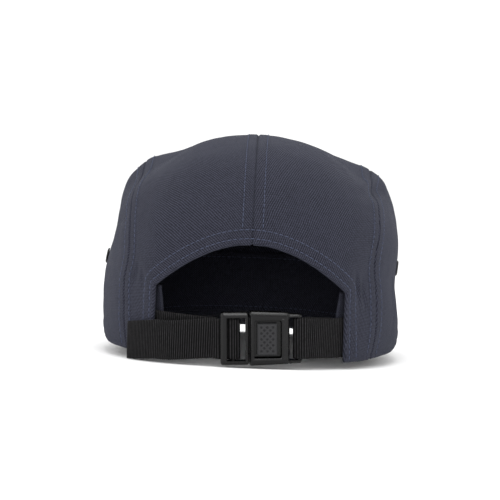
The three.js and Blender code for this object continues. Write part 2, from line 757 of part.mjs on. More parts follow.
function inwardsOf(point) {
  const share = backAt(point.x, point.z);
  return crownPoint(share).sub(point).dot(crownNormal(share));
}

const buckleStation = (along, depth) => ({ middle: inBuckle(along, depth), across: buckleUp.clone() });

// Stations between the buckle and the leg: the way inwards and the height run from one to the other
function reachOut(from, to, count, ease) {
  const stations = [];
  for (let step = 1; step <= count; step += 1) {
    const share = step / count;
    const eased = ease(share);
    stations.push(onGirth(lerp(from.x, to.x, share), lerp(from.height, to.height, eased),
      lerp(from.inwards, to.inwards, eased)));
  }
  return stations;
}

function bend(along, depth, turnFrom, turnTo) {
  const stations = [];
  const steps = 6;
  for (let step = 0; step <= steps; step += 1) {
    const angle = degToRad(lerp(turnFrom, turnTo, step / steps));
    stations.push(buckleStation(along + bendRadius * Math.cos(angle), depth + bendRadius * Math.sin(angle)));
  }
  return stations;
}

function endOf(station) {
  return { x: station.middle.x, height: station.middle.z, inwards: inwardsOf(station.middle) };
}

const smooth = (share) => share * share * (3 - 2 * share);
const sewnInwards = CLOTH + CLEARANCE + 0.5 * WEBBING_THICKNESS;

function sewnEnd(hand) {
  const edge = { x: hand * (OPENING_HALF_WIDTH - STRAP_EDGE), height: STRAP_HEIGHT, inwards: sewnInwards };
  const sewn = { ...edge, x: hand * (OPENING_HALF_WIDTH + STRAP_LAP) };
  return { edge, inside: reachOut(edge, sewn, 4, smooth) };
}

function strapLeft() {
  const base = buckleStation(ladderEnd + STRAP_LEAVING, baseDepth);
  const leaving = buckleStation(ladderEnd + STRAP_LEAVING, tailDepth);
  const { edge, inside } = sewnEnd(1);
  const overEdge = {
    x: OPENING_HALF_WIDTH - TAIL_EDGE,
    height: lerp(STRAP_HEIGHT, TAIL_END_HEIGHT, TAIL_EDGE_DROP),
    inwards: -0.5 * WEBBING_THICKNESS - TAIL_EDGE_GAP,
  };
  const tailEnd = { x: TAIL_REACH, height: TAIL_END_HEIGHT, inwards: -TAIL_STAND_OFF };
  const slideBarEnd = slideBarStart + SLIDE_BAR_WIDTH;
  return webbing([
    ...inside.reverse(),
    ...reachOut(endOf(base), edge, 7, smooth).reverse(),
    base,
    ...bend(slideBarStart, slideBarDepth, 270, 90),
    buckleStation(slideBarEnd + BAR_PLAY, slideBarDepth + bendRadius),
    buckleStation(ladderEnd - LADDER_OUTER_BAR - 0.5 * BAR_PLAY, tailDepth),
    leaving,
    ...reachOut(endOf(leaving), overEdge, 7, smooth),
    ...reachOut(overEdge, tailEnd, 3, (share) => share),
  ]);
}

function strapRight() {
  const shortLayer = buckleStation(socketEnd - STRAP_LEAVING, endBarDepth - bendRadius);
  const longLayer = buckleStation(socketEnd - STRAP_LEAVING, endBarDepth + bendRadius);
  const { edge, inside } = sewnEnd(-1);
  const long = reachOut(endOf(longLayer), edge, 7, smooth);
  const start = endOf(longLayer);
  const returned = [];
  const steps = 5;
  for (let step = 1; step <= steps; step += 1) {
    const x = start.x - RETURN_LENGTH * step / steps;
    const way = smooth((x - start.x) / (edge.x - start.x));
    const closed = smooth(step / steps);
    const inwards = lerp(start.inwards, edge.inwards, way)
      + lerp(2 * bendRadius, WEBBING_THICKNESS + 1.3 * CLEARANCE, closed);
    returned.push(onGirth(x, lerp(start.height, edge.height, way), inwards));
  }
  return webbing([
    ...returned.reverse(),
    shortLayer,
    ...bend(endBarStart, endBarDepth, -90, 90),
    longLayer,
    ...long,
    ...inside,
  ]);
}

// Materials, and the tree of named pieces
const cloth = new THREE.MeshStandardMaterial({ color: 0x3c3d48, roughness: 0.92 });
const bandCloth = new THREE.MeshStandardMaterial({ color: 0x33343e, roughness: 0.95 });
const nylon = new THREE.MeshStandardMaterial({ color: 0x202021, roughness: 0.7 });
const plastic = new THREE.MeshStandardMaterial({ color: 0x29292b, roughness: 0.45 });
const blackMetal = new THREE.MeshStandardMaterial({ color: 0x151516, roughness: 0.35, metalness: 0.6 });

function piece(name, geometry, material) {
  const mesh = new THREE.Mesh(geometry, material);
  mesh.name = name;
  return mesh;
}

const hat = new THREE.Group();
hat.add(piece("front_panel", frontPanel(), cloth));
hat.add(piece("peak", peak(), cloth));
hat.add(piece("sweatband", sweatband(), bandCloth));
for (const [side, hand] of [["left", 1], ["right", -1]]) {
  hat.add(piece(`top_panel_${side}`, topPanel(hand), cloth));
  hat.add(piece(`side_panel_${side}`, sidePanel(hand), cloth));
  eyeletShares(hand).forEach((share, index) => {
    const ring = piece(`eyelet_${side}_${["rear", "front"][index]}`, eyelet(), blackMetal);
    alongNormal(share).decompose(ring.position, ring.quaternion, ring.scale);
    hat.add(ring);
  });
}
hat.add(piece("strap_left", strapLeft(), nylon));
hat.add(piece("strap_right", strapRight(), nylon));
for (const [name, geometry] of [["buckle_plug", bucklePlug()], ["buckle_socket", buckleSocket()]]) {
  const half = piece(name, geometry, plastic);
  buckleFrame.decompose(half.position, half.quaternion, half.scale);
  hat.add(half);
}

// Tip the cap until the lowest points of its front and its back are level, then stand it on z = 0
// with the middle of its outline at the origin
function lowestPoints(group) {
  group.updateMatrixWorld(true);
  const points = [];
  group.traverse((object) => {
    if (!object.isMesh) return;
    const position = object.geometry.attributes.position;
    for (let index = 0; index < position.count; index += 1) {
      points.push(vector(0, 0, 0).fromBufferAttribute(position, index).applyMatrix4(object.matrixWorld));
    }
  });
  return points;
}

function restingTilt(points) {
  let low = degToRad(-20);
  let high = degToRad(20);
  for (let pass = 0; pass < 40; pass += 1) {
    const tilt = 0.5 * (low + high);
    let front = Infinity;
    let back = Infinity;
    for (const point of points) {
      const height = point.y * Math.sin(tilt) + point.z * Math.cos(tilt);
      if (point.y < 0) front = Math.min(front, height);
      else back = Math.min(back, height);
    }
    if (front > back) low = tilt;
    else high = tilt;
  }
  return 0.5 * (low + high);
}

hat.rotation.x = restingTilt(lowestPoints(hat));
const outline = new THREE.Box3().setFromPoints(lowestPoints(hat));
const middle = outline.getCenter(vector(0, 0, 0));
hat.position.set(-middle.x, -middle.y, -outline.min.z);

const cap = new THREE.Group();
cap.add(hat);
cap.updateMatrixWorld(true);
export default cap;
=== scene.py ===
import math

import bmesh
import bpy
import numpy as np
from bpy.props import FloatProperty, FloatVectorProperty, PointerProperty
from bpy.types import Operator, Panel, PropertyGroup
from mathutils import Matrix, Vector


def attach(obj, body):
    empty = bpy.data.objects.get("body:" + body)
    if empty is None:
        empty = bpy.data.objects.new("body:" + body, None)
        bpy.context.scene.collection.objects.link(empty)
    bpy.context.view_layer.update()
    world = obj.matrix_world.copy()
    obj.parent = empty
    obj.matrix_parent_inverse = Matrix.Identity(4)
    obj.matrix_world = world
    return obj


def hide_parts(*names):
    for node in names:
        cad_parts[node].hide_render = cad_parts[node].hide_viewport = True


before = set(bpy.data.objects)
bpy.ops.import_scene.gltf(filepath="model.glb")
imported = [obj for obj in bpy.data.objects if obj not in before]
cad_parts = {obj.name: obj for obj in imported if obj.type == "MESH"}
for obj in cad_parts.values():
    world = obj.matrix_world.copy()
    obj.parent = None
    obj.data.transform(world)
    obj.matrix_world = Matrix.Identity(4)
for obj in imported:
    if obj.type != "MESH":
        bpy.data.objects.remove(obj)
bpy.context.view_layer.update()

bl_info = {
    "name": "Jockey cap",
    "version": (1, 0, 0),
    "blender": (4, 5, 0),
    "location": "3D View > Sidebar > Cap",
    "description": "Sews the panels, peak, sweatband, strap, buckle and eyelets of a jockey cap",
    "category": "Mesh",
}

MM = 0.001
BODY = "root"

# How the cap lies on the floor: it is made over its rim, tipped, then moved
RIM_TILT = -3.661267  # degrees about X
RIM_PLACE = (-0.275065 * MM, 31.235149 * MM, 9.308258 * MM)
ON_THE_FLOOR = Matrix.Translation(RIM_PLACE) @ Matrix.Rotation(math.radians(RIM_TILT), 4, "X")

# Which way x runs on each side, and the wearer's side
SIDES = ((1, "left"), (-1, "right"))

# Squareness of the crown: 2 is an ellipse, more is squarer
PLAN_SQUARENESS = 2.2
FRONT_SQUARENESS = 2.37
BACK_SQUARENESS = 2.7

# Swells and dents of the crown. at: shares of half width, half length and rise. run: the way it
# runs. length, width, height: shares of the half width, below 0 for a dent.
FOLD_COLUMNS = ("at", "run", "length", "width", "height")
FOLDS = {
    "left front corner": ((0.78, -0.44, 0.72), (0.2, 0.6, 0.1), 0.28, 0.2, 0.104),
    "right front corner": ((-0.78, -0.44, 0.72), (-0.2, 0.6, 0.1), 0.28, 0.2, 0.104),
    "ridge over the centre seam": ((0, 0.05, 1), (0, 1, 0), 0.8, 0.3, 0.018),
    "left slump of the top": ((0.6, -0.02, 0.86), (0.1, 1, 0), 0.36, 0.15, -0.036),
    "right slump of the top": ((-0.62, 0, 0.84), (-0.1, 1, 0), 0.36, 0.15, -0.044),
    "left side dent": ((0.95, 0.1, 0.42), (0, 1, 0), 0.4, 0.14, -0.018),
    "right side bulge": ((-0.95, 0.1, 0.52), (0, 1, 0.1), 0.4, 0.14, 0.016),
    "right side dent": ((-0.97, 0.16, 0.2), (0, 1, 0.15), 0.36, 0.13, -0.045),
    "left hem dent": ((0.72, 0.62, 0.3), (0.3, -0.3, 1), 0.2, 0.09, -0.018),
    "right hem dent": ((-0.72, 0.64, 0.24), (-0.5, -0.3, 1), 0.2, 0.09, -0.024),
}
FOLD_DEPTH = 0.4

# Small creases that only the cloth shows, in the same columns
CREASES = {
    "left corner over the seams": ((0.79, -0.44, 0.74), (0.2, 0.6, 0.1), 0.26, 0.2, 0.024),
    "right corner over the seams": ((-0.8, -0.38, 0.7), (-0.2, 0.6, 0.1), 0.3, 0.26, 0.03),
    "right ridge by the top seam": ((-0.7, 0.1, 0.72), (0.25, 1, -0.1), 0.22, 0.026, 0.017),
    "right valley beside it": ((-0.74, 0.1, 0.68), (0.2, 1, -0.1), 0.22, 0.03, -0.024),
    "right ridge at the corner": ((-0.8, -0.2, 0.68), (0.05, 1, -0.35), 0.22, 0.02, 0.01),
    "left valley at the corner": ((0.76, -0.2, 0.72), (0, 1, -0.2), 0.25, 0.04, -0.014),
    "left arch crease": ((0.69, 0.72, 0.24), (0.6, 0, 1), 0.05, 0.02, -0.01),
    "left leg crease": ((0.74, 0.67, 0.24), (-0.3, 0, 1), 0.06, 0.018, -0.01),
    "right arch crease": ((-0.68, 0.72, 0.22), (0.3, 0, 1), 0.07, 0.016, -0.013),
    "right arch fold between": ((-0.705, 0.7, 0.2), (0.25, 0, 1), 0.07, 0.014, 0.008),
    "right arch crease beside it": ((-0.73, 0.68, 0.18), (0.2, 0, 1), 0.06, 0.014, -0.011),
    "right side crease": ((-0.93, 0.3, 0.14), (-0.25, -0.6, 0.8), 0.13, 0.018, 0.012),
    "right side crease under it": ((-0.95, 0.3, 0.07), (-0.1, -0.6, 0.6), 0.13, 0.03, -0.012),
    "left side crease": ((0.95, 0.25, 0.5), (0, 1, 0.4), 0.16, 0.03, -0.012),
}

# Seam rows: shares of half width, half length and rise
CORNER_ROW = (0.8, -0.475, 0.78)
TOP_SEAM_ROWS = ((0, -0.52, 0.95), (0.42, -0.515, 0.9), CORNER_ROW)
FRONT_SEAM_ROWS = (CORNER_ROW, (0.87, -0.5, 0.45), (0.895, -0.51, 0.15))
SIDE_SEAM_ROWS = ((0.758, -0.05, 0.761), (0.784, 0.258, 0.67), (0.797, 0.433, 0.568), (0.808, 0.588, 0.364))
SIDE_SEAM_KNEE = (0.813, 0.588)
TIP_SHARE = 0.06
FRONT_SEAM_ANGLE = 60.7
SIDE_SEAM_ANGLE = 129.2
GIRTH_ROUNDS = 6  # of working out a place on the girth
ARCH_POWER = 1.95
ARCH_SHARE = 0.7  # of a top panel's lower edge, the rest is over the leg
FRONT_WEAVE_RUN = 0.1  # metres of weave from the front panel's top to its rim

# Peak and sweatband
PEAK_SQUARENESS = 2.4
PEAK_FIRST_ROW = 5.5 * MM
PEAK_ROW_PITCH = 7 * MM
PEAK_ROW_DIP = 0.3 * MM
PEAK_HEM_LIFT = 0.25 * MM
PEAK_HEM = 3.2 * MM
PEAK_ROUNDING = 0.7
PEAK_GRID = (221, 91)  # points across it and out from the crown
BAND_SHIFT = 0.5 * MM  # how much further in the band lies than the bare cloth
BAND_STEP = (14, 6)  # degrees before the sewn webbing, from and to where the band steps inwards
BAND_ROW = 2.2 * MM
BAND_ROUNDING = 0.9
BAND_COLUMNS = 361
BAND_CELL = 1.4 * MM

# Sewing
SEAM_DIP = 0.75 * MM
SEAM_DIP_WIDTH = 0.55 * MM
ALLOWANCE = 6.2 * MM
ALLOWANCE_LIFT = 0.32 * MM
TOPSTITCH = 5.0 * MM
HEM_ROWS = (2.2 * MM, 6.8 * MM)
HEM = 7.8 * MM
SEWN_LENGTH = 9 * MM  # of the webbing inside a leg
HEM_ROUNDING = (0.9 * MM, 0.8 * MM)  # how near the edge the cloth is rounded, and how softly
ALLOWANCE_INSIDE = 0.3 * MM
SEAM_NOTCH = 0.9 * MM  # in the inside of a seam, no deeper than its limit
SEAM_NOTCH_WIDTH = 0.4 * MM
SEAM_NOTCH_LIMIT = 0.3 * MM
THINNEST_CLOTH = 0.35 * MM
STITCH_DIP = 0.2 * MM
STITCH_DIP_WIDTH = 0.5 * MM
STITCH_LENGTH = 2.3 * MM
STITCH_GAP = 0.5 * MM
THREAD = 0.23 * MM
THREAD_SIDES = 6
THREAD_RINGS = 5
EYELET_SIDES = 56

# Grid of the cloth
FINE_CELL = 0.45 * MM
CLOTH_CELL = 1.15 * MM
FINE_EDGE = 8.4 * MM

# Small waves of the cloth: from crest to crest, height and seed
CLOTH_WAVES = ((34 * MM, 0.34 * MM, 11), (11 * MM, 0.07 * MM, 12))
BAND_WAVES = (26 * MM, 0.15 * MM, 91)

# Stage, in metres: where each lamp stands and its size. The camera's place and aim are in millimetres.
FLOOR_RADIUS = 12.0
LAMPS = {
    "key": ((1.3, 0.55, 0.75), 1.0),
    "fill": ((-1.35, 0.5, 0.6), 1.0),
    "front": ((0.15, 2.3, 0.4), 0.7),
    "overhead": ((0, 0.3, 1.3), 0.5),
}
LAMP_AIM = (0, 0.03, 0.05)
CAMERA_PLACE = (-15.897, 1532.867, 116.830)
CAMERA_AIM = (1.748, 34.280, 54.179)
CAMERA_ROLL = 2.335  # degrees
CAMERA_LENS = 207.6


def length(name, description, millimetres):
    return FloatProperty(name=name, description=description, default=millimetres * MM,
                         precision=5, unit="LENGTH", subtype="DISTANCE")


def colour(name, description, red, green, blue):
    return FloatVectorProperty(name=name, description=description, default=(red, green, blue),
                               size=3, min=0, max=1, subtype="COLOR")


def plain(name, description, value):
    return FloatProperty(name=name, description=description, default=value)


class CrownShape(PropertyGroup):
    half_width: length("Half width", "From the middle to the side of the widest girth", 77)
    half_length: length("Half length", "From the middle to the front of the widest girth", 97)
    belly: length("Belly", "From the rim up to the widest girth", 16)
    rise: length("Rise", "From the widest girth up to the top", 87)
    under: length("Under", "How deep the curve below the widest girth would run", 54)
    cloth: length("Cloth", "Thickness of the panels", 1.4)


class OpeningShape(PropertyGroup):
    half_width: length("Half width", "From the middle to the leg beside the opening", 48)
    corner_height: length("Corner height", "From the rim to the corners of the arch", 34.4)
    top_height: length("Top height", "From the rim to the top of the arch", 58)


class PeakShape(PropertyGroup):
    projection: length("Projection", "How far the peak stands out in front", 65)
    half_width: length("Half width", "Half the width of the peak", 72)
    thickness: length("Thickness", "Thickness of the covered board", 2.6)
    lap: length("Lap", "How far the peak stands up in front of the rim", 1)
    gap: length("Gap", "Between the peak and the front panel", 0.4)
    curl: length("Curl", "How much lower the sides of the peak are", 14)
    fall: plain("Fall", "Drop for each unit forwards", 0.21)


class BandShape(PropertyGroup):
    height: length("Height", "Top edge of the sweatband over the rim", 33.5)
    foot: length("Foot", "Lower edge of the sweatband over the rim", 0.8)
    thickness: length("Thickness", "Thickness of the sweatband", 1.2)
    lead: length("Lead", "How far its foot runs on into the opening", 5)


class StrapShape(PropertyGroup):
    width: length("Width", "Width of the webbing", 20)
    thickness: length("Thickness", "Thickness of the webbing", 1.2)
    height: length("Height", "Middle of the webbing over the rim", 11.4)
    rib: length("Rib", "From rib to rib of the webbing", 1.15)
    tail_reach: length("Tail reach", "How far left of the middle the loose tail ends", 58.5)


class BuckleShape(PropertyGroup):
    shift: length("Shift", "How far right of the middle the buckle lies", 6)
    inset: length("Inset", "How far inside the crown's curve its back lies", 8.6)
    depth: length("Depth", "From the back to the front of the socket", 8.2)
    rail: length("Rail", "Height of the rails over and under the webbing", 2.1)
    dimple: length("Dimple", "Radius of the dimples in the button", 0.62)


class EyeletShape(PropertyGroup):
    height: length("Height", "Height of the eyelets over the rim", 39)
    rear: length("Rear", "How far behind the middle the rear eyelet is", -2)
    spacing: length("Spacing", "Between the eyelets of one side", 24)
    flange: length("Flange", "Outer radius of an eyelet", 4)
    hole: length("Hole", "Radius of its hole", 1.9)
    punched: length("Punched hole", "Radius of the hole in the cloth, under its flange", 2.7)


class CapFinish(PropertyGroup):
    cloth: colour("Cloth", "Slate navy of the twill", 0.0203, 0.0211, 0.0310)
    band: colour("Band", "Twill of the sweatband", 0.0205, 0.0213, 0.0310)
    thread: colour("Thread", "Sewing thread", 0.047, 0.056, 0.092)
    webbing: colour("Webbing", "Black nylon webbing", 0.0052, 0.0050, 0.0054)
    plastic: colour("Plastic", "Black moulded plastic", 0.0032, 0.0031, 0.0034)
    button: colour("Button", "The push button, a little greyer", 0.0165, 0.0165, 0.0182)
    enamel: colour("Enamel", "Black enamel of the eyelets", 0.008, 0.008, 0.009)


class StudioLook(PropertyGroup):
    floor: colour("Floor", "Pale floor", 0.93, 0.93, 0.93)
    surround: plain("Surround", "Strength of the even light", 1.12)
    key: plain("Key", "Strength of the large lamp", 6.0)
    fill: plain("Fill", "Strength of the lamp opposite", 6.0)
    front: plain("Front", "Strength of the lamp by the camera", 14.0)
    overhead: plain("Overhead", "Strength of the lamp above", 6.0)


# Plain sums
def lerp(low, high, share):
    return low + (high - low) * share


def smoothstep(value, low=0, high=1):
    share = np.clip((value - low) / (high - low), 0, 1)
    return share * share * (3 - 2 * share)


def unit(vectors):
    return vectors / np.maximum(np.linalg.norm(vectors, axis=-1, keepdims=True), 1e-12)


def stack(*parts):
    return np.stack(np.broadcast_arrays(*parts), axis=-1).astype(float)


def bell(distance, width):
    return np.exp(-(distance / width) ** 2)


def within(distance, width, soft):
    """1 well inside a width and 0 outside it, with a soft edge."""
    return smoothstep(-distance, -width, soft - width)


def between(at, marks, rows):
    """Rows of numbers, read between the marks where they stand."""
    return stack(*[np.interp(at, marks, column) for column in np.asarray(rows).T])


class Crown:
    """The surface of the crown, in shares of its half sizes, in the cap's own frame."""

    def __init__(self, shape):
        self.shape = shape
        self.half = np.array([shape.half_width, shape.half_length, shape.rise])
        self.folds = [self.fold_frame(row) for row in FOLDS.values()]
        self.creases = [self.fold_frame(row) for row in CREASES.values()]

    def squareness(self, side, back):
        across = side * self.shape.half_width
        along = back * self.shape.half_length
        backward = along / np.maximum(np.hypot(across, along), 1e-9)
        return lerp(FRONT_SQUARENESS, BACK_SQUARENESS, 0.5 + 0.5 * backward)

    def onto(self, share):
        power = self.squareness(share[..., 0], share[..., 1])
        girth = plan_girth(share[..., 0], share[..., 1])
        reach = (girth ** power + np.abs(share[..., 2]) ** power) ** (-1 / power)
        return share * reach[..., None]

    def scale(self, height):
        """The half sizes, with the rise over the widest girth and the depth under it."""
        return stack(self.shape.half_width, self.shape.half_length,
                     np.where(height > 0, self.shape.rise, self.shape.under))

    def from_belly(self, share):
        return share * self.scale(share[..., 2])

    def fold_frame(self, row):
        fold = dict(zip(FOLD_COLUMNS, row))
        middle = self.from_belly(self.onto(np.array(fold["at"], float)))
        out = unit(middle / self.half ** 2)
        run = np.array(fold["run"], float)
        run = unit(run - out * (run @ out))
        return {**fold, "middle": middle, "out": out, "run": run, "across": np.cross(out, run)}

    def swell(self, points, folds):
        height = np.zeros(points.shape[:-1])
        for fold in folds:
            away = (points - fold["middle"]) / self.shape.half_width
            along = away @ fold["run"] / fold["length"]
            across = away @ fold["across"] / fold["width"]
            through = away @ fold["out"] / FOLD_DEPTH
            height += fold["height"] * np.exp(-0.5 * (along ** 2 + across ** 2 + through ** 2))
        return height * self.shape.half_width

    def point(self, share):
        points = self.from_belly(self.onto(share))
        steady = smoothstep(points[..., 2] + self.shape.belly, 0, self.shape.belly)
        points = points + unit(points) * (self.swell(points, self.folds) * steady)[..., None]
        points[..., 2] += self.shape.belly
        return points

    def crease(self, points):
        bare = points - np.array([0, 0, self.shape.belly])
        return self.swell(bare, self.creases) * smoothstep(points[..., 2], 0, self.shape.belly)

    def normal(self, share):
        step = 0.01
        upright = np.where(np.abs(share[..., 2:]) > 0.7, np.array([1.0, 0, 0]), np.array([0, 0, 1.0]))
        first = unit(np.cross(share, upright))
        second = unit(np.cross(share, first))
        along = self.point(share + first * step) - self.point(share - first * step)
        across = self.point(share + second * step) - self.point(share - second * step)
        normal = unit(np.cross(along, across))
        return normal * np.sign(np.sum(normal * share, axis=-1, keepdims=True))

    def off(self, share, inwards):
        inwards = np.asarray(inwards, float)
        return self.point(share) - self.normal(share) * inwards[..., None]

    def share_of(self, points):
        bare = points - np.array([0, 0, self.shape.belly])
        return self.onto(bare / self.scale(bare[..., 2]))

    def rise_at(self, height):
        over = height - self.shape.belly
        return over / self.scale(over)[..., 2]

    def girth_at(self, height, side, back):
        power = self.squareness(side, back)
        return (1 - np.abs(self.rise_at(height)) ** power) ** (1 / power)

    def towards(self, side, back, height):
        scale = self.girth_at(height, side, back) / plan_girth(side, back)
        return stack(side * scale, back * scale, self.rise_at(height))

    def round_rim(self, angle, height=0.0):
        turn = np.radians(angle)
        return self.towards(np.sin(turn), -np.cos(turn), height)

    def rest_of_girth(self, share, height, side, back):
        girth = self.girth_at(height, side, back) ** PLAN_SQUARENESS
        return np.maximum(girth - np.abs(share) ** PLAN_SQUARENESS, 1e-9) ** (1 / PLAN_SQUARENESS)

    def back_at(self, x, height):
        side = np.asarray(x / self.shape.half_width, float)
        back = np.ones_like(side)
        for _ in range(GIRTH_ROUNDS):
            back = self.rest_of_girth(side, height, side, back)
        return stack(side, back, self.rise_at(height))

    def side_at(self, y, height, hand):
        back = np.asarray(y / self.shape.half_length, float)
        side = np.ones_like(back)
        for _ in range(GIRTH_ROUNDS):
            side = self.rest_of_girth(back, height, side, back)
        return stack(hand * side, back, self.rise_at(height))

    def beside(self, line, distance):
        """A line of places at a distance beside a line, to its right seen from outside."""
        points = self.point(line)
        along = unit(np.gradient(points, axis=0))
        sideways = unit(np.cross(along, self.normal(line)))
        return self.share_of(points + sideways * distance)


def plan_girth(side, back):
    return (np.abs(side) ** PLAN_SQUARENESS + np.abs(back) ** PLAN_SQUARENESS) ** (1 / PLAN_SQUARENESS)


def angle_of(share):
    return math.degrees(math.atan2(share[0], -share[1]))


def rounded_line(points, steps=40):
    """A dense line through points: a centripetal Catmull-Rom curve."""
    points = np.asarray(points, float)
    held = [2 * points[0] - points[1], *points, 2 * points[-1] - points[-2]]
    line = []
    for a, b, c, d in zip(held, held[1:], held[2:], held[3:]):
        gaps = [np.linalg.norm(end - start) ** 0.5 for start, end in ((a, b), (b, c), (c, d))]
        k = np.cumsum([0.0, *gaps])
        t = np.linspace(k[1], k[2], steps, endpoint=False)[:, None]
        ab = (a * (k[1] - t) + b * (t - k[0])) / (k[1] - k[0])
        bc = (b * (k[2] - t) + c * (t - k[1])) / (k[2] - k[1])
        cd = (c * (k[3] - t) + d * (t - k[2])) / (k[3] - k[2])
        abc = (ab * (k[2] - t) + bc * (t - k[0])) / (k[2] - k[0])
        bcd = (bc * (k[3] - t) + cd * (t - k[1])) / (k[3] - k[1])
        line.append((abc * (k[2] - t) + bcd * (t - k[1])) / (k[2] - k[1]))
    return np.concatenate([*line, points[-1:]])


class Line:
    """A line with places on it by share of its length."""

    def __init__(self, points):
        self.points = np.asarray(points, float)
        steps = np.linalg.norm(np.diff(self.points, axis=0), axis=1)
        self.marks = np.concatenate([[0.0], np.cumsum(steps)])
        self.length = self.marks[-1]

    def at(self, share):
        marks = np.asarray(share, float) * self.length
        return between(marks, self.marks, self.points)


def distance_to(points, line):
    """From each point to the nearest point of a line."""
    nearest = np.full(points.shape[:-1], np.inf)
    for start, end in zip(line, line[1:]):
        run = end - start
        away = points - start
        share = np.clip(away @ run / max(run @ run, 1e-18), 0, 1)
        nearest = np.minimum(nearest, np.sum((away - share[..., None] * run) ** 2, axis=-1))
    return np.sqrt(nearest)


def ripple(points, wavelength, height, seed):
    """Low random waves, the same in each run."""
    random = np.random.default_rng(seed)
    waves = np.zeros(points.shape[:-1])
    count = 9
    for _ in range(count):
        way = unit(random.normal(size=3)) * math.tau / (wavelength * random.uniform(0.7, 1.5))
        waves += np.sin(points @ way + random.uniform(0, math.tau))
    return waves * height / math.sqrt(count)


def graded(size, fine_start=True, fine_end=True, cell=CLOTH_CELL):
    """Shares from 0 to 1 across a size, close together at the edges that are sewn or hemmed."""
    edge = min(FINE_EDGE, 0.42 * size)
    fine = max(int(round(edge / FINE_CELL)), 2)
    start = np.linspace(0, edge, fine + 1)[:-1] if fine_start else np.zeros(0)
    end = size - np.linspace(edge, 0, fine + 1)[1:] if fine_end else np.zeros(0)
    low = edge if fine_start else 0.0
    high = size - edge if fine_end else size
    middle = np.linspace(low, high, max(int(round((high - low) / cell)), 1) + 1)
    return np.concatenate([start, middle, end]) / size


def coons(across, down, start, end, left, right):
    """The places in shares that four edges span, a row for each share of down."""
    u = np.asarray(across)[None, :, None]
    v = np.asarray(down)[:, None, None]
    places = start(across)[None] * (1 - v) + end(across)[None] * v
    places = places + left(down)[:, None] * (1 - u) + right(down)[:, None] * u
    first, last = start(np.array([0.0, 1.0])), end(np.array([0.0, 1.0]))
    return (places - first[0] * (1 - u) * (1 - v) - first[1] * u * (1 - v)
            - last[0] * (1 - u) * v - last[1] * u * v)


# Seams of the crown, in shares
def mirrored(row, hand):
    return np.array([hand * row[0], row[1], row[2]], float)


class Seams:
    """Every sewn line and edge of the crown."""

    def __init__(self, crown, opening):
        self.crown = crown
        self.opening = opening
        rows = [mirrored(row, -1) for row in TOP_SEAM_ROWS[:0:-1]]
        rows += [mirrored(row, 1) for row in TOP_SEAM_ROWS]
        self.top = Line(rounded_line([crown.onto(row) for row in rows]))
        self.front = {hand: self.front_seam(hand) for hand in (1, -1)}
        self.side = {hand: self.side_seam(hand) for hand in (1, -1)}
        arch = crown.back_at(0.0, opening.top_height)
        front = self.top.at(0.5)
        self.centre_tilts = (math.atan2(front[1], front[2]), math.atan2(arch[1], arch[2]))

    def front_seam(self, hand):
        rows = [self.crown.onto(mirrored(row, hand)) for row in FRONT_SEAM_ROWS]
        return Line(rounded_line([*rows, self.crown.round_rim(hand * FRONT_SEAM_ANGLE)]))

    def side_seam(self, hand):
        crown = self.crown
        rows = [self.top.at(0.5 + 0.5 * hand * (1 - TIP_SHARE))]
        rows += [crown.onto(mirrored(row, hand)) for row in SIDE_SEAM_ROWS]
        knee = crown.towards(hand * SIDE_SEAM_KNEE[0], SIDE_SEAM_KNEE[1], self.opening.corner_height)
        rows.append(knee)
        upper_count = len(rows) - 1
        for share in (0.5, 0.0):
            angle = lerp(SIDE_SEAM_ANGLE, abs(angle_of(knee)), share)
            rows.append(crown.round_rim(hand * angle, share * self.opening.corner_height))
        steps = 40
        whole = rounded_line(rows, steps)
        turn = upper_count * steps
        return {"whole": Line(whole), "upper": Line(whole[:turn + 1]), "lower": Line(whole[turn:])}

    def centre(self, share):
        tilt = lerp(*self.centre_tilts, np.asarray(share, float))
        return self.crown.onto(stack(0.0, np.sin(tilt), np.cos(tilt)))

    def arch(self, share):
        """Along the arch: 0 at its top, 1 and -1 at its corners."""
        share = np.asarray(share, float)
        height = lerp(self.opening.top_height, self.opening.corner_height, np.abs(share) ** ARCH_POWER)
        return self.crown.back_at(share * self.opening.half_width, height)

    def leg(self, hand, share):
        """Down the edge of the opening: 0 at the arch's corner, 1 at the rim."""
        height = self.opening.corner_height * (1 - np.asarray(share, float))
        return self.crown.back_at(np.full_like(height, hand * self.opening.half_width), height)

    def opening_edge(self, hand, count=60):
        """From the top of the arch to the rim."""
        arch = self.arch(hand * np.linspace(0, 1, count))
        return np.concatenate([arch, self.leg(hand, np.linspace(0, 1, count // 2))[1:]])


# Meshes
def quads_of(ids):
    """Four-sided faces of a grid of point numbers."""
    corners = (ids[:-1, :-1], ids[1:, :-1], ids[1:, 1:], ids[:-1, 1:])
    return np.stack([corner.ravel() for corner in corners], axis=-1)


def numbered(grid):
    return np.arange(grid.size).reshape(grid.shape)


def tube(rings, around):
    """Faces of a tube with closed ends."""
    ids = np.arange(rings * around).reshape(rings, around)
    faces = quads_of(np.concatenate([ids, ids[:, :1]], axis=1)).tolist()
    return [*faces, ids[0].tolist(), ids[-1][::-1].tolist()]


def join(*parts):
    """Points and faces of several bodies in one mesh."""
    points, faces, count = [], [], 0
    for part_points, part_faces in parts:
        points.append(part_points)
        faces += [tuple(corner + count for corner in face) for face in part_faces]
        count += len(part_points)
    return np.concatenate(points), faces


def put_down(name, data):
    made = bpy.data.objects.new(name, data)
    bpy.context.scene.collection.objects.link(made)
    return made


def new_object(name, points, faces):
    mesh = bpy.data.meshes.new(name)
    mesh.from_pydata(np.asarray(points).tolist(), [], [list(map(int, face)) for face in faces])
    return put_down(name, mesh)


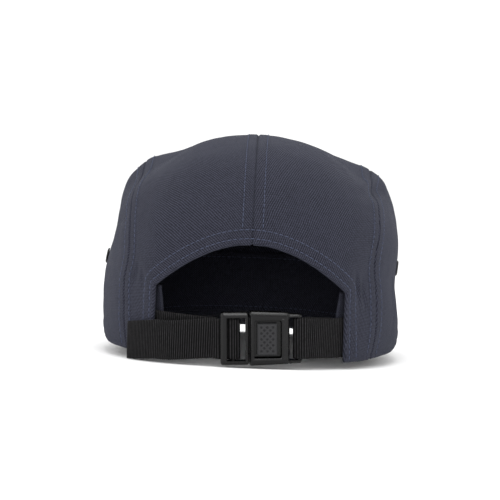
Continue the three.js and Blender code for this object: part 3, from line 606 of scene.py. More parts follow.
def make_piece(name, points, faces, uv, material, slot, nodes, sharp_angle=None):
    """Makes one piece from points in the cap's frame, lays it on the floor and hands it to the frame."""
    piece = new_object(name, points, faces)
    mesh = piece.data
    mesh.transform(ON_THE_FLOOR)
    if uv is not None:
        layer = mesh.uv_layers.new(name="cloth")
        corners = np.zeros(len(mesh.loops), np.int32)
        mesh.loops.foreach_get("vertex_index", corners)
        layer.data.foreach_set("uv", np.asarray(uv, np.float32)[corners].ravel())
    mesh.validate()
    mesh.shade_smooth()
    if sharp_angle is not None:
        mesh.set_sharp_from_angle(angle=math.radians(sharp_angle))
    mesh.materials.append(material)
    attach(piece, BODY)
    if nodes:
        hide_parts(*nodes)
    return piece


def wall(outer, inner, faces, uv, rounding, rings=4):
    """Closes an outer and an inner skin with a border, rounded by a share at each point."""
    outer, inner, uv = outer.reshape(-1, 3), inner.reshape(-1, 3), uv.reshape(-1, 2)
    count = len(outer)
    facing = np.cross(outer[faces[:, 2]] - outer[faces[:, 0]], outer[faces[:, 3]] - outer[faces[:, 1]])
    if np.sum(facing * (outer - inner)[faces].mean(axis=1)) < 0:
        faces = faces[:, ::-1]
    starts, ends = faces.ravel(), np.roll(faces, -1, axis=1).ravel()
    alone = np.flatnonzero(~np.isin(ends * count + starts, starts * count + ends))
    starts, ends = starts[alone], ends[alone]
    inward = outer[faces[alone // 4]].mean(axis=1) - 0.5 * (outer[starts] + outer[ends])
    run = unit(outer[ends] - outer[starts])
    inward = unit(inward - run * np.sum(inward * run, axis=1, keepdims=True))
    pull = np.zeros_like(outer)
    np.subtract.at(pull, starts, inward)
    np.subtract.at(pull, ends, inward)
    border = np.unique(starts)
    half = 0.5 * (outer - inner)[border]
    centre = 0.5 * (outer + inner)[border]
    tangent = unit(pull[border])
    tangent = unit(tangent - unit(half) * np.sum(tangent * unit(half), axis=1, keepdims=True))
    reach = np.linalg.norm(half, axis=1, keepdims=True) * rounding.ravel()[border][:, None]
    points, coordinates = [outer, inner], [uv, uv]
    for ring in range(1, rings):
        turn = math.pi * ring / rings
        points.append(centre + half * math.cos(turn) + tangent * reach * math.sin(turn))
        coordinates.append(uv[border] + ring * FINE_CELL)
    between_skins = 2 * count + np.arange((rings - 1) * len(border)).reshape(rings - 1, -1)
    levels = [border, *between_skins, count + border]
    start, end = np.searchsorted(border, starts), np.searchsorted(border, ends)
    sides = [np.stack([near[end], near[start], far[start], far[end]], axis=-1)
             for near, far in zip(levels, levels[1:])]
    return (np.concatenate(points), np.concatenate([faces, faces[:, ::-1] + count, *sides]).tolist(),
            np.concatenate(coordinates))


def turned(uv, degrees):
    turn = math.radians(degrees)
    u, v = uv[..., 0], uv[..., 1]
    return stack(u * math.cos(turn) - v * math.sin(turn), u * math.sin(turn) + v * math.cos(turn))


def run_lengths(points, axis):
    steps = np.linalg.norm(np.diff(points, axis=axis), axis=-1)
    pad = [(0, 0)] * steps.ndim
    pad[axis] = (1, 0)
    return np.pad(np.cumsum(steps, axis=axis), pad)


def drape(crown, points):
    """Creases and small waves of the cloth."""
    return crown.crease(points) + sum(ripple(points, *wave) for wave in CLOTH_WAVES)


def relief_of(crown, points, seams, hems):
    """How far the cloth stands off the plain crown: seams, hems, creases and small waves."""
    lift = np.zeros(points.shape[:-1])
    dip = np.zeros(points.shape[:-1])
    for seam in seams:
        away = distance_to(points, seam)
        lift = np.maximum(lift, within(away, ALLOWANCE, 1.2 * MM))
        dip += SEAM_DIP * bell(away, SEAM_DIP_WIDTH)
        dip += STITCH_DIP * bell(away - TOPSTITCH, STITCH_DIP_WIDTH)
    for hem in hems:
        away = distance_to(points, hem)
        lift = np.maximum(lift, within(away, HEM, 1.0 * MM))
        for row in HEM_ROWS:
            dip += STITCH_DIP * bell(away - row, STITCH_DIP_WIDTH)
    return drape(crown, points) + ALLOWANCE_LIFT * lift - dip


def stitch_row(points, normals):
    """Threads of one sewn row, each dipping into the cloth at its ends."""
    line = Line(points)
    count = max(int(line.length / (STITCH_LENGTH + STITCH_GAP)), 1)
    places = np.linspace(-0.5, 0.5, THREAD_RINGS)
    turns = -np.arange(THREAD_SIDES)[:, None] * math.tau / THREAD_SIDES
    bow = np.cos(places * math.pi)
    radius = THREAD * (0.45 + 0.55 * bow ** 0.5)
    threads = []
    for index in range(count):
        marks = (index + 0.5) * line.length / count + places * STITCH_LENGTH
        spine = line.at(marks / line.length)
        rise = unit(between(marks, line.marks, normals))
        across = unit(np.cross(unit(spine[-1] - spine[0]), rise))
        spine = spine + rise * ((1.2 * bow - 0.85) * THREAD)[:, None]
        wheel = across[:, None] * np.cos(turns) + rise[:, None] * np.sin(turns)
        rings = spine[:, None] + wheel * radius[:, None, None]
        threads.append((rings.reshape(-1, 3), tube(THREAD_RINGS, THREAD_SIDES)))
    return join(*threads)


def sew(name, rows, material, slot):
    """One piece of all the threads of several rows."""
    points, faces = join(*[stitch_row(*row) for row in rows])
    return make_piece(name, points, faces, points[:, :2], material, slot, ())


def eyelet_places(crown, shape, hand):
    """The name and the place of each eyelet of one side."""
    return [(name, crown.side_at(back, shape.height, hand))
            for name, back in (("rear", shape.rear), ("front", shape.rear - shape.spacing))]


class Patternmaker:
    """Cuts the crown's panels: where each lies, what it is sewn to, and its rows of stitches."""

    def __init__(self, settings):
        self.crown = Crown(settings.crown)
        self.seams = Seams(self.crown, settings.opening)
        self.opening = settings.opening
        self.cloth = settings.crown.cloth
        self.eyelet = settings.eyelet

    def dense(self, at, count=50):
        return at(np.linspace(0, 1, count))

    def lines(self, *edges):
        """Lines on the crown along edges: pairs of a function of shares and a count of points."""
        return [self.crown.point(self.dense(at, count)) for at, count in edges]

    def size_of(self, at, count=60):
        return Line(self.crown.point(self.dense(at, count))).length

    def rim(self, start, end):
        return lambda share: self.crown.round_rim(lerp(start, end, share))

    def grid(self, across, down, start, end, left, right):
        """Places in shares between four edges, and how far along its row each lies."""
        shares = self.crown.onto(coons(across, down, start, end, left, right))
        return shares, run_lengths(self.crown.point(shares), 1)

    def panel(self, node, shares, faces, uv, seams, hems, material):
        shares = shares.reshape(-1, 3)
        points = self.crown.point(shares)
        normals = self.crown.normal(shares)
        relief = relief_of(self.crown, points, seams, hems)
        inner_relief = np.zeros_like(relief)
        for seam in seams:
            away = distance_to(points, seam)
            inner_relief += ALLOWANCE_INSIDE * within(away, ALLOWANCE, 0.8 * MM)
            inner_relief -= SEAM_NOTCH * bell(away, SEAM_NOTCH_WIDTH)
        rounding = np.zeros_like(relief)
        for hem in hems:
            rounding = np.maximum(rounding, within(distance_to(points, hem), *HEM_ROUNDING))
        depth = self.cloth + np.maximum(inner_relief, -SEAM_NOTCH_LIMIT) - self.crown.crease(points)
        outer = points + normals * np.maximum(relief, THINNEST_CLOTH - depth)[..., None]
        inner = points - normals * depth[..., None]
        made = wall(outer, inner, faces, uv, rounding)
        return make_piece(f"{node}_cloth", *made, material, "cloth", (node,))

    def row(self, shares, relief):
        points = self.crown.point(shares)
        normals = self.crown.normal(shares)
        lift = drape(self.crown, points) + relief
        return points + normals * lift[:, None], normals

    def front_panel(self, material):
        seams = self.seams
        left, right = (seams.front[hand].at for hand in (1, -1))
        rim = self.rim(FRONT_SEAM_ANGLE, -FRONT_SEAM_ANGLE)
        top = lambda share: seams.top.at(1 - np.asarray(share))
        across = graded(self.size_of(rim))
        down = graded(self.size_of(left, 50))
        shares, u = self.grid(across, down, top, rim, left, right)
        uv = stack(u - u[:, -1:] * 0.5, down[:, None] * FRONT_WEAVE_RUN)
        self.panel("front_panel", shares, quads_of(numbered(u)), turned(uv, 42),
                   self.lines((seams.top.at, 90), (left, 50), (right, 50)), self.lines((rim, 90)), material)

    def side_panel(self, hand, side, material):
        seams, crown = self.seams, self.crown
        front, back = seams.front[hand].at, seams.side[hand]["whole"].at
        rim = self.rim(hand * FRONT_SEAM_ANGLE, hand * SIDE_SEAM_ANGLE)
        tip = lambda share: seams.top.at(0.5 + 0.5 * hand * (1 - TIP_SHARE * np.asarray(share)))
        drop = self.size_of(back, 50)
        down = graded(drop)
        shares, u = self.grid(graded(self.size_of(rim)), down, tip, rim, front, back)
        faces = quads_of(numbered(u))
        middles = crown.point(shares.reshape(-1, 3))[faces].mean(axis=1)
        away = [np.linalg.norm(middles - crown.point(place), axis=1)
                for _, place in eyelet_places(crown, self.eyelet, hand)]
        faces = faces[np.min(away, axis=0) > self.eyelet.punched]
        self.panel(f"side_panel_{side}", shares, faces, turned(stack(u, down[:, None] * drop), -30 * hand),
                   self.lines((front, 50), (back, 80)), self.lines((rim, 60)), material)

    def top_panel(self, hand, side, material):
        """The panel beside the centre seam, over the arch, and the leg beside the opening under it."""
        seams, crown = self.seams, self.crown
        seam = seams.side[hand]
        upper = seam["upper"].at
        corner, knee = seams.arch(hand), upper(1)
        leg_top = lambda share: crown.onto(lerp(corner, knee, np.asarray(share)[..., None]))
        start = lambda share: seams.top.at(0.5 + 0.5 * hand * (1 - TIP_SHARE) * np.asarray(share))
        rim = self.rim(angle_of(seams.leg(hand, 1)), hand * SIDE_SEAM_ANGLE)

        def end(share):
            share = np.asarray(share)
            on_arch = seams.arch(hand * np.clip(share / ARCH_SHARE, 0, 1))
            beyond = leg_top(np.clip((share - ARCH_SHARE) / (1 - ARCH_SHARE), 0, 1))
            return np.where((share < ARCH_SHARE)[..., None], on_arch, beyond)

        inside = graded(self.size_of(lambda share: seams.arch(hand * share)))
        leg_across = graded(self.size_of(leg_top, 20))
        across = np.concatenate([inside * ARCH_SHARE, ARCH_SHARE + leg_across[1:] * (1 - ARCH_SHARE)])
        turn = len(inside) - 1
        down = graded(self.size_of(upper, 50))
        main, u = self.grid(across, down, start, end, seams.centre, upper)
        leg_down = graded(self.opening.corner_height, fine_start=False)
        leg, leg_u = self.grid(leg_across, leg_down, leg_top, rim,
                               lambda share: seams.leg(hand, share), seam["lower"].at)
        main_ids = numbered(u)
        leg_ids = np.concatenate([main_ids[-1:, turn:], main_ids.size + numbered(leg_u[1:])])
        centre_size = self.size_of(seams.centre)
        uv = stack(u, down[:, None] * centre_size)
        leg_uv = stack(leg_u + u[-1, turn], centre_size + leg_down[:, None] * self.opening.corner_height)
        shares, uv = (np.concatenate([upper_rows.reshape(-1, upper_rows.shape[-1]),
                                      leg_rows[1:].reshape(-1, leg_rows.shape[-1])])
                      for upper_rows, leg_rows in ((main, leg), (uv, leg_uv)))
        hems = [crown.point(seams.opening_edge(hand)), *self.lines((rim, 30))]
        self.panel(f"top_panel_{side}", shares, np.concatenate([quads_of(main_ids), quads_of(leg_ids)]),
                   turned(uv, -36 if hand > 0 else -18),
                   self.lines((seams.centre, 80), (seam["whole"].at, 80), (start, 40)), hems, material)


# Buckle, in its own frame: x along the strap to the wearer's left, y outwards, z up
JOIN = 6.05 * MM  # from its middle to the line where the halves meet
PLAY = 0.3 * MM
RAIL_PLAY = 0.6 * MM
LADDER_LENGTH = 13.75 * MM
LADDER_DEPTH = 6.4 * MM
LADDER_OUTER_BAR = 2.9 * MM
LADDER_INNER_BAR = 1.5 * MM
LADDER_SLOT = 2.7 * MM
SLIDE_BAR_WIDTH = 2.0 * MM
SLIDE_BAR_THICKNESS = 1.6 * MM
BAR_SIDES = 20
SOCKET_LENGTH = 25.75 * MM
SOCKET_BODY = 19.65 * MM
SOCKET_WALL = 1.6 * MM
SOCKET_END_DEPTH = 5.2 * MM
SOCKET_TAPER = 1.1 * MM
WINDOW_MARGIN = 2.25 * MM
WINDOW_LENGTH = 13.5 * MM
WINDOW_HEIGHT = 18.6 * MM
TONGUE_THICKNESS = 1.8 * MM
BUTTON_MARGIN = 1.5 * MM
BUTTON_LENGTH = 9.8 * MM
BUTTON_HEIGHT = 15.7 * MM
TOP_CHAMFER = 1.5 * MM
TOP_LIFT = 0.5 * MM  # how much taller its upper side is
BUCKLE_TILT = 2.5
BUCKLE_TURN = 4.0
CORNER_RADIUS = 1.3 * MM
PAST = 1 * MM  # how far a cut runs past what it cuts
SOFTENED = 34  # degrees between faces whose edge is softened
SHARP = 24  # degrees between faces that stay an edge
SHARP_ON_BUTTON = 40
BUTTON_CELL = 0.17 * MM
BUTTON_ROUNDING = 0.5 * MM

# Webbing
RETURN_LENGTH = 15 * MM  # of the right strap's end, behind itself
TAIL_END_HEIGHT = 5 * MM
TAIL_STANDS_OFF = 2.4 * MM  # its middle from the crown, at its end
OVER_EDGE = 1.2 * MM  # between the tail and the edge of the leg
LEAVING = 1 * MM  # past the buckle's ends, where the webbing turns to the legs
RIB_STEPS = 6
RIB_DEPTH = 0.2 * MM

# Dimples of the button: along it and up it, from its middle
DIMPLE_COLUMNS = ((-2.9 * MM, 5), (-1.5 * MM, 4), (-0.05 * MM, 5), (1.4 * MM, 4), (2.85 * MM, 5))
DIMPLE_PITCH = 2.95 * MM
DIMPLE_DEPTH = 0.55 * MM


class Buckle:
    """Where the parts of the buckle lie, and its frame over the rim."""

    def __init__(self, settings, crown):
        shape, strap = settings.buckle, settings.strap
        self.depth = shape.depth
        back = crown.point(crown.back_at(0.0, strap.height))[1] - shape.inset
        self.frame = (Matrix.Translation((-shape.shift, back, strap.height))
                      @ Matrix.Rotation(math.radians(BUCKLE_TURN), 4, "Z")
                      @ Matrix.Rotation(math.radians(BUCKLE_TILT), 4, "Y"))
        self.up = np.array(self.frame.to_3x3() @ Vector((0, 0, 1)))
        self.height = strap.width + 2 * (RAIL_PLAY + shape.rail)
        self.slot = strap.width + 2 * RAIL_PLAY
        self.ladder_start = JOIN + 0.5 * PLAY
        self.ladder_end = self.ladder_start + LADDER_LENGTH
        self.ladder_back = 0.5 * (self.depth - LADDER_DEPTH)
        self.socket_start = JOIN - 0.5 * PLAY
        self.socket_end = self.socket_start - SOCKET_LENGTH
        self.bend = 0.5 * (SLIDE_BAR_THICKNESS + strap.thickness) + PLAY
        self.base_depth = self.ladder_back + PLAY + 0.5 * strap.thickness
        self.slide_depth = self.base_depth + self.bend
        self.slide_start = (self.ladder_start + LADDER_INNER_BAR + LADDER_SLOT + self.bend
                            + 0.5 * strap.thickness)
        self.tail_depth = self.base_depth + strap.thickness + PLAY
        self.end_depth = 0.5 * self.depth
        self.end_start = self.socket_end + SLIDE_BAR_WIDTH
        self.window_end = self.socket_start - WINDOW_MARGIN
        self.window = (self.window_end - WINDOW_LENGTH, self.window_end)
        self.body_end = self.socket_start - SOCKET_BODY
        self.behind_bar = self.tail_depth + 0.5 * strap.thickness + PLAY
        self.bar_height = self.slot + shape.rail

    def place(self, points):
        turn = np.array(self.frame)
        return np.asarray(points, float) @ turn[:3, :3].T + turn[:3, 3]


class Strapwork:
    """Lays the webbing from the legs of the crown through the buckle."""

    def __init__(self, settings, crown, buckle):
        self.crown, self.buckle = crown, buckle
        self.strap, self.opening = settings.strap, settings.opening
        self.sewn_inwards = settings.crown.cloth + PLAY + 0.5 * self.strap.thickness

    def on_girth(self, x, height, inwards):
        half = 0.5 * self.strap.width
        low, high = (self.crown.off(self.crown.back_at(x, level), inwards)
                     for level in (height - half, height + half))
        return 0.5 * (low + high), unit(high - low)

    def in_buckle(self, along, depth):
        return self.buckle.place((along, depth, 0)), self.buckle.up

    def bend(self, along, depth, turn_from, turn_to):
        radius = self.buckle.bend
        turns = np.radians(np.linspace(turn_from, turn_to, 9))
        return [self.in_buckle(along + radius * math.cos(turn), depth + radius * math.sin(turn))
                for turn in turns]

    def end_of(self, station):
        x, _, height = station[0]
        share = self.crown.back_at(x, height)
        inwards = (self.crown.point(share) - station[0]) @ self.crown.normal(share)
        return np.array([x, height, inwards])

    def reach_out(self, start, end, count, ease=smoothstep):
        stations = []
        for share in np.linspace(0, 1, count + 1)[1:]:
            eased = ease(share)
            stations.append(self.on_girth(lerp(start[0], end[0], share), lerp(start[1], end[1], eased),
                                          lerp(start[2], end[2], eased)))
        return stations

    def sewn_end(self, hand):
        edge = np.array([hand * (self.opening.half_width - 2 * MM), self.strap.height, self.sewn_inwards])
        sewn = np.array([hand * (self.opening.half_width + SEWN_LENGTH), *edge[1:]])
        return edge, self.reach_out(edge, sewn, 5)

    def left(self):
        buckle = self.buckle
        leaving_at = buckle.ladder_end + LEAVING
        base = self.in_buckle(leaving_at, buckle.base_depth)
        leaving = self.in_buckle(leaving_at, buckle.tail_depth)
        edge, inside = self.sewn_end(1)
        over_edge = np.array([self.opening.half_width - 3 * MM,
                              lerp(self.strap.height, TAIL_END_HEIGHT, 0.55),
                              -0.5 * self.strap.thickness - OVER_EDGE])
        tail_end = np.array([self.strap.tail_reach, TAIL_END_HEIGHT, -TAIL_STANDS_OFF])
        slide_end = buckle.slide_start + SLIDE_BAR_WIDTH
        return [
            *reversed(inside),
            *reversed(self.reach_out(self.end_of(base), edge, 9)),
            base,
            *self.bend(buckle.slide_start, buckle.slide_depth, 270, 90),
            self.in_buckle(slide_end + 0.4 * MM, buckle.slide_depth + buckle.bend),
            self.in_buckle(buckle.ladder_end - LADDER_OUTER_BAR - 0.2 * MM, buckle.tail_depth),
            leaving,
            *self.reach_out(self.end_of(leaving), over_edge, 9),
            *self.reach_out(over_edge, tail_end, 4, lambda share: share),
        ]

    def right(self):
        buckle = self.buckle
        leaving_at = buckle.socket_end - LEAVING
        short = self.in_buckle(leaving_at, buckle.end_depth - buckle.bend)
        long = self.in_buckle(leaving_at, buckle.end_depth + buckle.bend)
        edge, inside = self.sewn_end(-1)
        start = self.end_of(long)
        returned = []
        for share in np.linspace(0, 1, 7)[1:]:
            x = start[0] - RETURN_LENGTH * share
            way = smoothstep((x - start[0]) / (edge[0] - start[0]))
            gap = lerp(2 * buckle.bend, self.strap.thickness + 1.3 * PLAY, smoothstep(share))
            returned.append(self.on_girth(x, lerp(start[1], edge[1], way),
                                          lerp(start[2], edge[2], way) + gap))
        return [
            *reversed(returned),
            short,
            *self.bend(buckle.end_start, buckle.end_depth, -90, 90),
            long,
            *self.reach_out(start, edge, 9),
            *inside,
        ]

    def weave(self, name, node, stations, material):
        """Ribbed webbing with rounded selvedges through the stations."""
        line = rounded_line([middle for middle, _ in stations], 24)
        at = np.linspace(0, len(stations) - 1, len(line))
        ups = between(at, np.arange(len(stations)), [up for _, up in stations])
        path = Line(line)
        marks = np.linspace(0, path.length, int(path.length / (self.strap.rib / RIB_STEPS)) + 1)
        middles = path.at(marks / path.length)
        ups = unit(between(marks, path.marks, ups))
        faces_out = unit(np.cross(ups, unit(np.gradient(middles, axis=0))))
        half, edge = 0.5 * self.strap.width, 0.5 * self.strap.thickness
        quarter = np.linspace(0, 0.5, 4) * math.pi
        wide = np.concatenate([-half + edge * (1 - np.cos(quarter)),
                               np.linspace(-half + edge, half - edge, 19)[1:-1],
                               half - edge * (1 - np.sin(quarter))])
        thick = edge * np.sqrt(1 - np.clip((np.abs(wide) - (half - edge)) / edge, 0, 1) ** 2)
        wide = np.concatenate([wide, wide[-2:0:-1]])
        thick = np.concatenate([thick, -thick[-2:0:-1]])
        rib = np.cos(marks * math.tau / self.strap.rib)[:, None]
        rib_depth = RIB_DEPTH * (1 - 0.55 * np.clip((np.abs(wide) - 0.82 * half) / (0.18 * half), 0, 1))
        seal = 1 - 0.3 * bell(path.length - marks, 0.5 * MM) - 0.3 * bell(marks, 0.5 * MM)
        stands = (thick + np.sign(thick) * rib * rib_depth) * seal[:, None]
        points = (middles[:, None] + ups[:, None] * (wide * (1 + 0.006 * rib))[..., None]
                  + faces_out[:, None] * stands[..., None])
        uv = stack(marks[:, None], wide[None]).reshape(-1, 2)
        return make_piece(name, points.reshape(-1, 3), tube(*points.shape[:2]), uv, material,
                          "webbing", (node,))


# Mouldings
def rounded_outline(corners, radius, steps=5):
    """A convex outline with its corners rounded."""
    corners = np.asarray(corners, float)
    outline = []
    for index, corner in enumerate(corners):
        before = unit(corners[index - 1] - corner)
        after = unit(corners[(index + 1) % len(corners)] - corner)
        for share in np.linspace(0, 1, steps + 1):
            outline.append(corner + before * radius * (1 - share) ** 2 + after * radius * share ** 2)
    return np.array(outline)


def moulding(corners_at, radius, depths):
    """Points and faces of a block from outlines at several depths: pairs of depth and inset."""
    rings = []
    for depth, inset in depths:
        outline = rounded_outline(corners_at(inset), max(radius - 0.6 * inset, 0.2 * MM))
        rings.append(stack(outline[:, 0], depth, outline[:, 1]))
    return np.concatenate(rings), tube(len(rings), len(rings[0]))


def corners_of(low, high, up_low, up_high=None, lift=0.0):
    """Corners of an outline as tall above as below, its upper side raised by a lift."""
    up_high = up_low if up_high is None else up_high
    return ((low, -up_low), (high, -up_high), (high, up_high + lift), (low, up_low + lift))


def block(along, depth, height, radius=0.0, chamfer=0.0):
    """A block with square or rounded corners. along and depth are from and to."""
    def corners_at(inset):
        return corners_of(along[0] + inset, along[1] - inset, 0.5 * height - inset)

    depths = ((depth[0], chamfer), (depth[0] + chamfer, 0), (depth[1] - chamfer, 0), (depth[1], chamfer))
    if not chamfer:
        depths = ((depth[0], 0), (depth[1], 0))
    if not radius:
        corners = corners_at(0)
        points = [(x, level, z) for level, _ in (depths[0], depths[-1]) for x, z in corners]
        faces = [(0, 1, 2, 3), (7, 6, 5, 4), (0, 4, 5, 1), (1, 5, 6, 2), (2, 6, 7, 3), (3, 7, 4, 0)]
        return np.array(points), faces
    return moulding(corners_at, radius, depths)


def loose_object(name, points, faces):
    piece = new_object(name, points, faces)
    build = bmesh.new()
    build.from_mesh(piece.data)
    bmesh.ops.recalc_face_normals(build, faces=build.faces)
    build.to_mesh(piece.data)
    build.free()
    return piece


def carve(body, cuts, soften):
    """Points and faces of a body with blocks cut out of it and its edges softened."""
    piece = loose_object("uncut", *body)
    tools = [loose_object("tool", *cut) for cut in cuts]
    for tool in tools:
        modifier = piece.modifiers.new("Cut", "BOOLEAN")
        modifier.operation = "DIFFERENCE"
        modifier.solver = "EXACT"
        modifier.object = tool
    bevel = piece.modifiers.new("Soften", "BEVEL")
    bevel.width = soften
    bevel.segments = 2
    bevel.limit_method = "ANGLE"
    bevel.angle_limit = math.radians(SOFTENED)
    bevel.use_clamp_overlap = True
    bpy.context.view_layer.update()
    mesh = bpy.data.meshes.new_from_object(piece.evaluated_get(bpy.context.evaluated_depsgraph_get()))
    points = np.array([tuple(vertex.co) for vertex in mesh.vertices])
    faces = [tuple(face.vertices) for face in mesh.polygons]
    bpy.data.meshes.remove(mesh)
    for made in (piece, *tools):
        mesh = made.data
        bpy.data.objects.remove(made)
        bpy.data.meshes.remove(mesh)
    return points, faces


def dimpled_pad(along, depth, height, radius):
    """The push button: a pad with soft edges and rows of dimples."""
    columns, rows = (int(round(size / BUTTON_CELL)) for size in (along[1] - along[0], height))
    x = np.linspace(along[0], along[1], columns + 1)[None, :]
    z = np.linspace(-0.5 * height, 0.5 * height, rows + 1)[:, None]
    middle = 0.5 * (along[0] + along[1])
    inside = np.minimum(0.5 * (along[1] - along[0]) - np.abs(x - middle), 0.5 * height - np.abs(z))
    level = depth[1] - BUTTON_ROUNDING * (1 - smoothstep(inside, -0.3 * MM, 0.75 * MM))
    for place, count in DIMPLE_COLUMNS:
        for index in range(count):
            up = (index - 0.5 * (count - 1)) * DIMPLE_PITCH
            away = np.hypot(x - middle - place, z - up)
            level = level - DIMPLE_DEPTH * (1 - smoothstep(away, 0.35 * radius, 1.15 * radius))
    points = stack(x, level, z)
    ids = numbered(level)
    faces = quads_of(ids).tolist()
    ring = [*ids[0], *ids[1:, -1], *ids[-1, -2::-1], *ids[-2:0:-1, 0]]
    skirt = points.reshape(-1, 3)[ring] * (1, 0, 1) + (0, depth[0], 0)
    low = level.size + np.arange(len(ring))
    faces += quads_of(np.array([[*ring, ring[0]], [*low, low[0]]])).tolist()
    faces.append(low.tolist())
    return np.concatenate([points.reshape(-1, 3), skirt]), faces


def round_bar(along, depth, thickness, height):
    """A bar of flattened round section that stands across the webbing."""
    turns = np.arange(BAR_SIDES) * math.tau / BAR_SIDES
    flattened = [np.sign(wave) * np.abs(wave) ** 0.7 for wave in (np.cos(turns), np.sin(turns))]
    x = 0.5 * (along[0] + along[1]) + 0.5 * (along[1] - along[0]) * flattened[0]
    y = depth + 0.5 * thickness * flattened[1]
    points = np.concatenate([stack(x, y, level) for level in (-0.5 * height, 0.5 * height)])
    return points, tube(2, BAR_SIDES)


# Parts of the buckle: points and faces in its own frame
def ladder_of(buckle):
    def outline(inset):
        return corners_of(buckle.ladder_start + 0.3 * inset, buckle.ladder_end - inset,
                          0.5 * buckle.height - inset, lift=TOP_LIFT)

    back, front = buckle.ladder_back, buckle.ladder_back + LADDER_DEPTH
    outer_bar = buckle.ladder_end - LADDER_OUTER_BAR
    blank = moulding(outline, CORNER_RADIUS, (
        (back, 0.5 * MM), (back + 0.5 * MM, 0), (front - TOP_CHAMFER, 0), (front - 0.2 * MM, 1.2 * MM),
        (front, 1.5 * MM)))
    slot = block((buckle.ladder_start + LADDER_INNER_BAR, outer_bar), (-PAST, buckle.depth + PAST),
                 buckle.slot)
    under_bar = block((outer_bar - PAST, buckle.ladder_end + 2 * PAST), (-PAST, buckle.behind_bar),
                      buckle.slot)
    return carve(blank, (slot, under_bar), 0.22 * MM)


def slide_of(buckle, start, depth):
    return round_bar((start, start + SLIDE_BAR_WIDTH), depth, SLIDE_BAR_THICKNESS, buckle.bar_height)


def tongue_of(buckle):
    back = 0.5 * (buckle.depth - TONGUE_THICKNESS)
    return block((buckle.window[0], buckle.ladder_start + 0.5 * LADDER_INNER_BAR),
                 (back, back + TONGUE_THICKNESS), WINDOW_HEIGHT - 2 * PLAY, 1.2 * MM, 0.3 * MM)


def socket_body(buckle):
    def outline(inset):
        up = 0.5 * buckle.height - inset
        return corners_of(buckle.body_end + 0.6 * inset, buckle.socket_start - 0.5 * inset,
                          up + 0.1 * MM - 0.5 * SOCKET_TAPER, up + 0.35 * MM, TOP_LIFT)

    deep = buckle.depth
    blank = moulding(outline, CORNER_RADIUS, (
        (0, 0.6 * MM), (0.6 * MM, 0), (deep - TOP_CHAMFER, 0), (deep - 0.25 * MM, 1.4 * MM),
        (deep, 1.9 * MM)))
    hollow = block((buckle.window[0] - PLAY, buckle.socket_start + 2 * PAST),
                   (SOCKET_WALL, deep - SOCKET_WALL), WINDOW_HEIGHT)
    window = block(buckle.window, (0.5 * deep, deep + PAST), WINDOW_HEIGHT, 1.0 * MM)
    return carve(blank, (hollow, window), 0.25 * MM)


def socket_end(buckle):
    def outline(inset):
        up = 0.5 * buckle.height - inset
        return corners_of(buckle.socket_end + inset, buckle.body_end + 1.5 * MM,
                          up - 0.5 * SOCKET_TAPER - 0.25 * MM, up - 0.35 * MM)

    back = 0.5 * (buckle.depth - SOCKET_END_DEPTH)
    front = back + SOCKET_END_DEPTH
    blank = moulding(outline, CORNER_RADIUS, (
        (back, 0.4 * MM), (back + 0.4 * MM, 0), (front - 0.9 * MM, 0), (front, 0.8 * MM)))
    slot = block((buckle.socket_end - 2 * PAST, buckle.body_end), (-PAST, buckle.depth + PAST),
                 buckle.slot)
    return carve(blank, (slot,), 0.2 * MM)


def socket_ridge(buckle):
    return block((buckle.body_end + 2.4 * MM, buckle.body_end + 3.9 * MM),
                 (buckle.depth - 0.4 * MM, buckle.depth + 0.35 * MM), buckle.height - 5.2 * MM,
                 0.5 * MM, 0.3 * MM)


# Materials
def new_material(name):
    material = bpy.data.materials.new(name)
    material.use_nodes = True
    nodes = material.node_tree.nodes
    nodes.clear()
    output = nodes.new("ShaderNodeOutputMaterial")
    shader = nodes.new("ShaderNodeBsdfPrincipled")
    material.node_tree.links.new(shader.outputs["BSDF"], output.inputs["Surface"])
    return material, material.node_tree, shader


class Number:
    """A value in a node tree. The usual signs between two of them add the node that works it out."""

    def __init__(self, tree, socket):
        self.tree, self.socket = tree, socket

    def math(self, operation, *others):
        node = self.tree.nodes.new("ShaderNodeMath")
        node.operation = operation
        for socket, value in zip(node.inputs, (self, *others)):
            feed(socket, value)
        return Number(self.tree, node.outputs[0])

    def __add__(self, other):
        return self.math("ADD", other)

    def __sub__(self, other):
        return self.math("SUBTRACT", other)

    def __mul__(self, other):
        return self.math("MULTIPLY", other)

    def __truediv__(self, other):
        return self.math("DIVIDE", other)

    def parts(self):
        split = self.tree.nodes.new("ShaderNodeSeparateXYZ")
        feed(split.inputs[0], self)
        return [Number(self.tree, output) for output in split.outputs]

    def noise(self, scale, detail=2.0, roughness=0.5):
        """Noise at a place that this value holds."""
        node = self.tree.nodes.new("ShaderNodeTexNoise")
        values = {"Vector": self, "Scale": scale, "Detail": detail, "Roughness": roughness}
        for label, value in values.items():
            feed(node.inputs[label], value)
        return Number(self.tree, node.outputs["Fac"])


def feed(socket, value):
    """Links a Number into a socket, or sets a plain value on it."""
    if isinstance(value, Number):
        value.tree.links.new(value.socket, socket)
    else:
        socket.default_value = value


def node_group(name, vectors, numbers, pattern):
    """A shader node group, built once: its vector inputs, its numbers with defaults and its pattern."""
    if name in bpy.data.node_groups:
        return bpy.data.node_groups[name]
    group = bpy.data.node_groups.new(name, "ShaderNodeTree")
    for label in vectors:
        group.interface.new_socket(name=label, in_out="INPUT", socket_type="NodeSocketVector")
    for label, default in numbers.items():
        socket = group.interface.new_socket(name=label, in_out="INPUT", socket_type="NodeSocketFloat")
        socket.default_value = default
    inside = group.nodes.new("NodeGroupInput")
    made = pattern(*[Number(group, inside.outputs[label]) for label in (*vectors, *numbers)])
    for label in made:
        group.interface.new_socket(name=label, in_out="OUTPUT", socket_type="NodeSocketFloat")
    outside = group.nodes.new("NodeGroupOutput")
    for label, value in made.items():
        feed(outside.inputs[label], value)
    return group


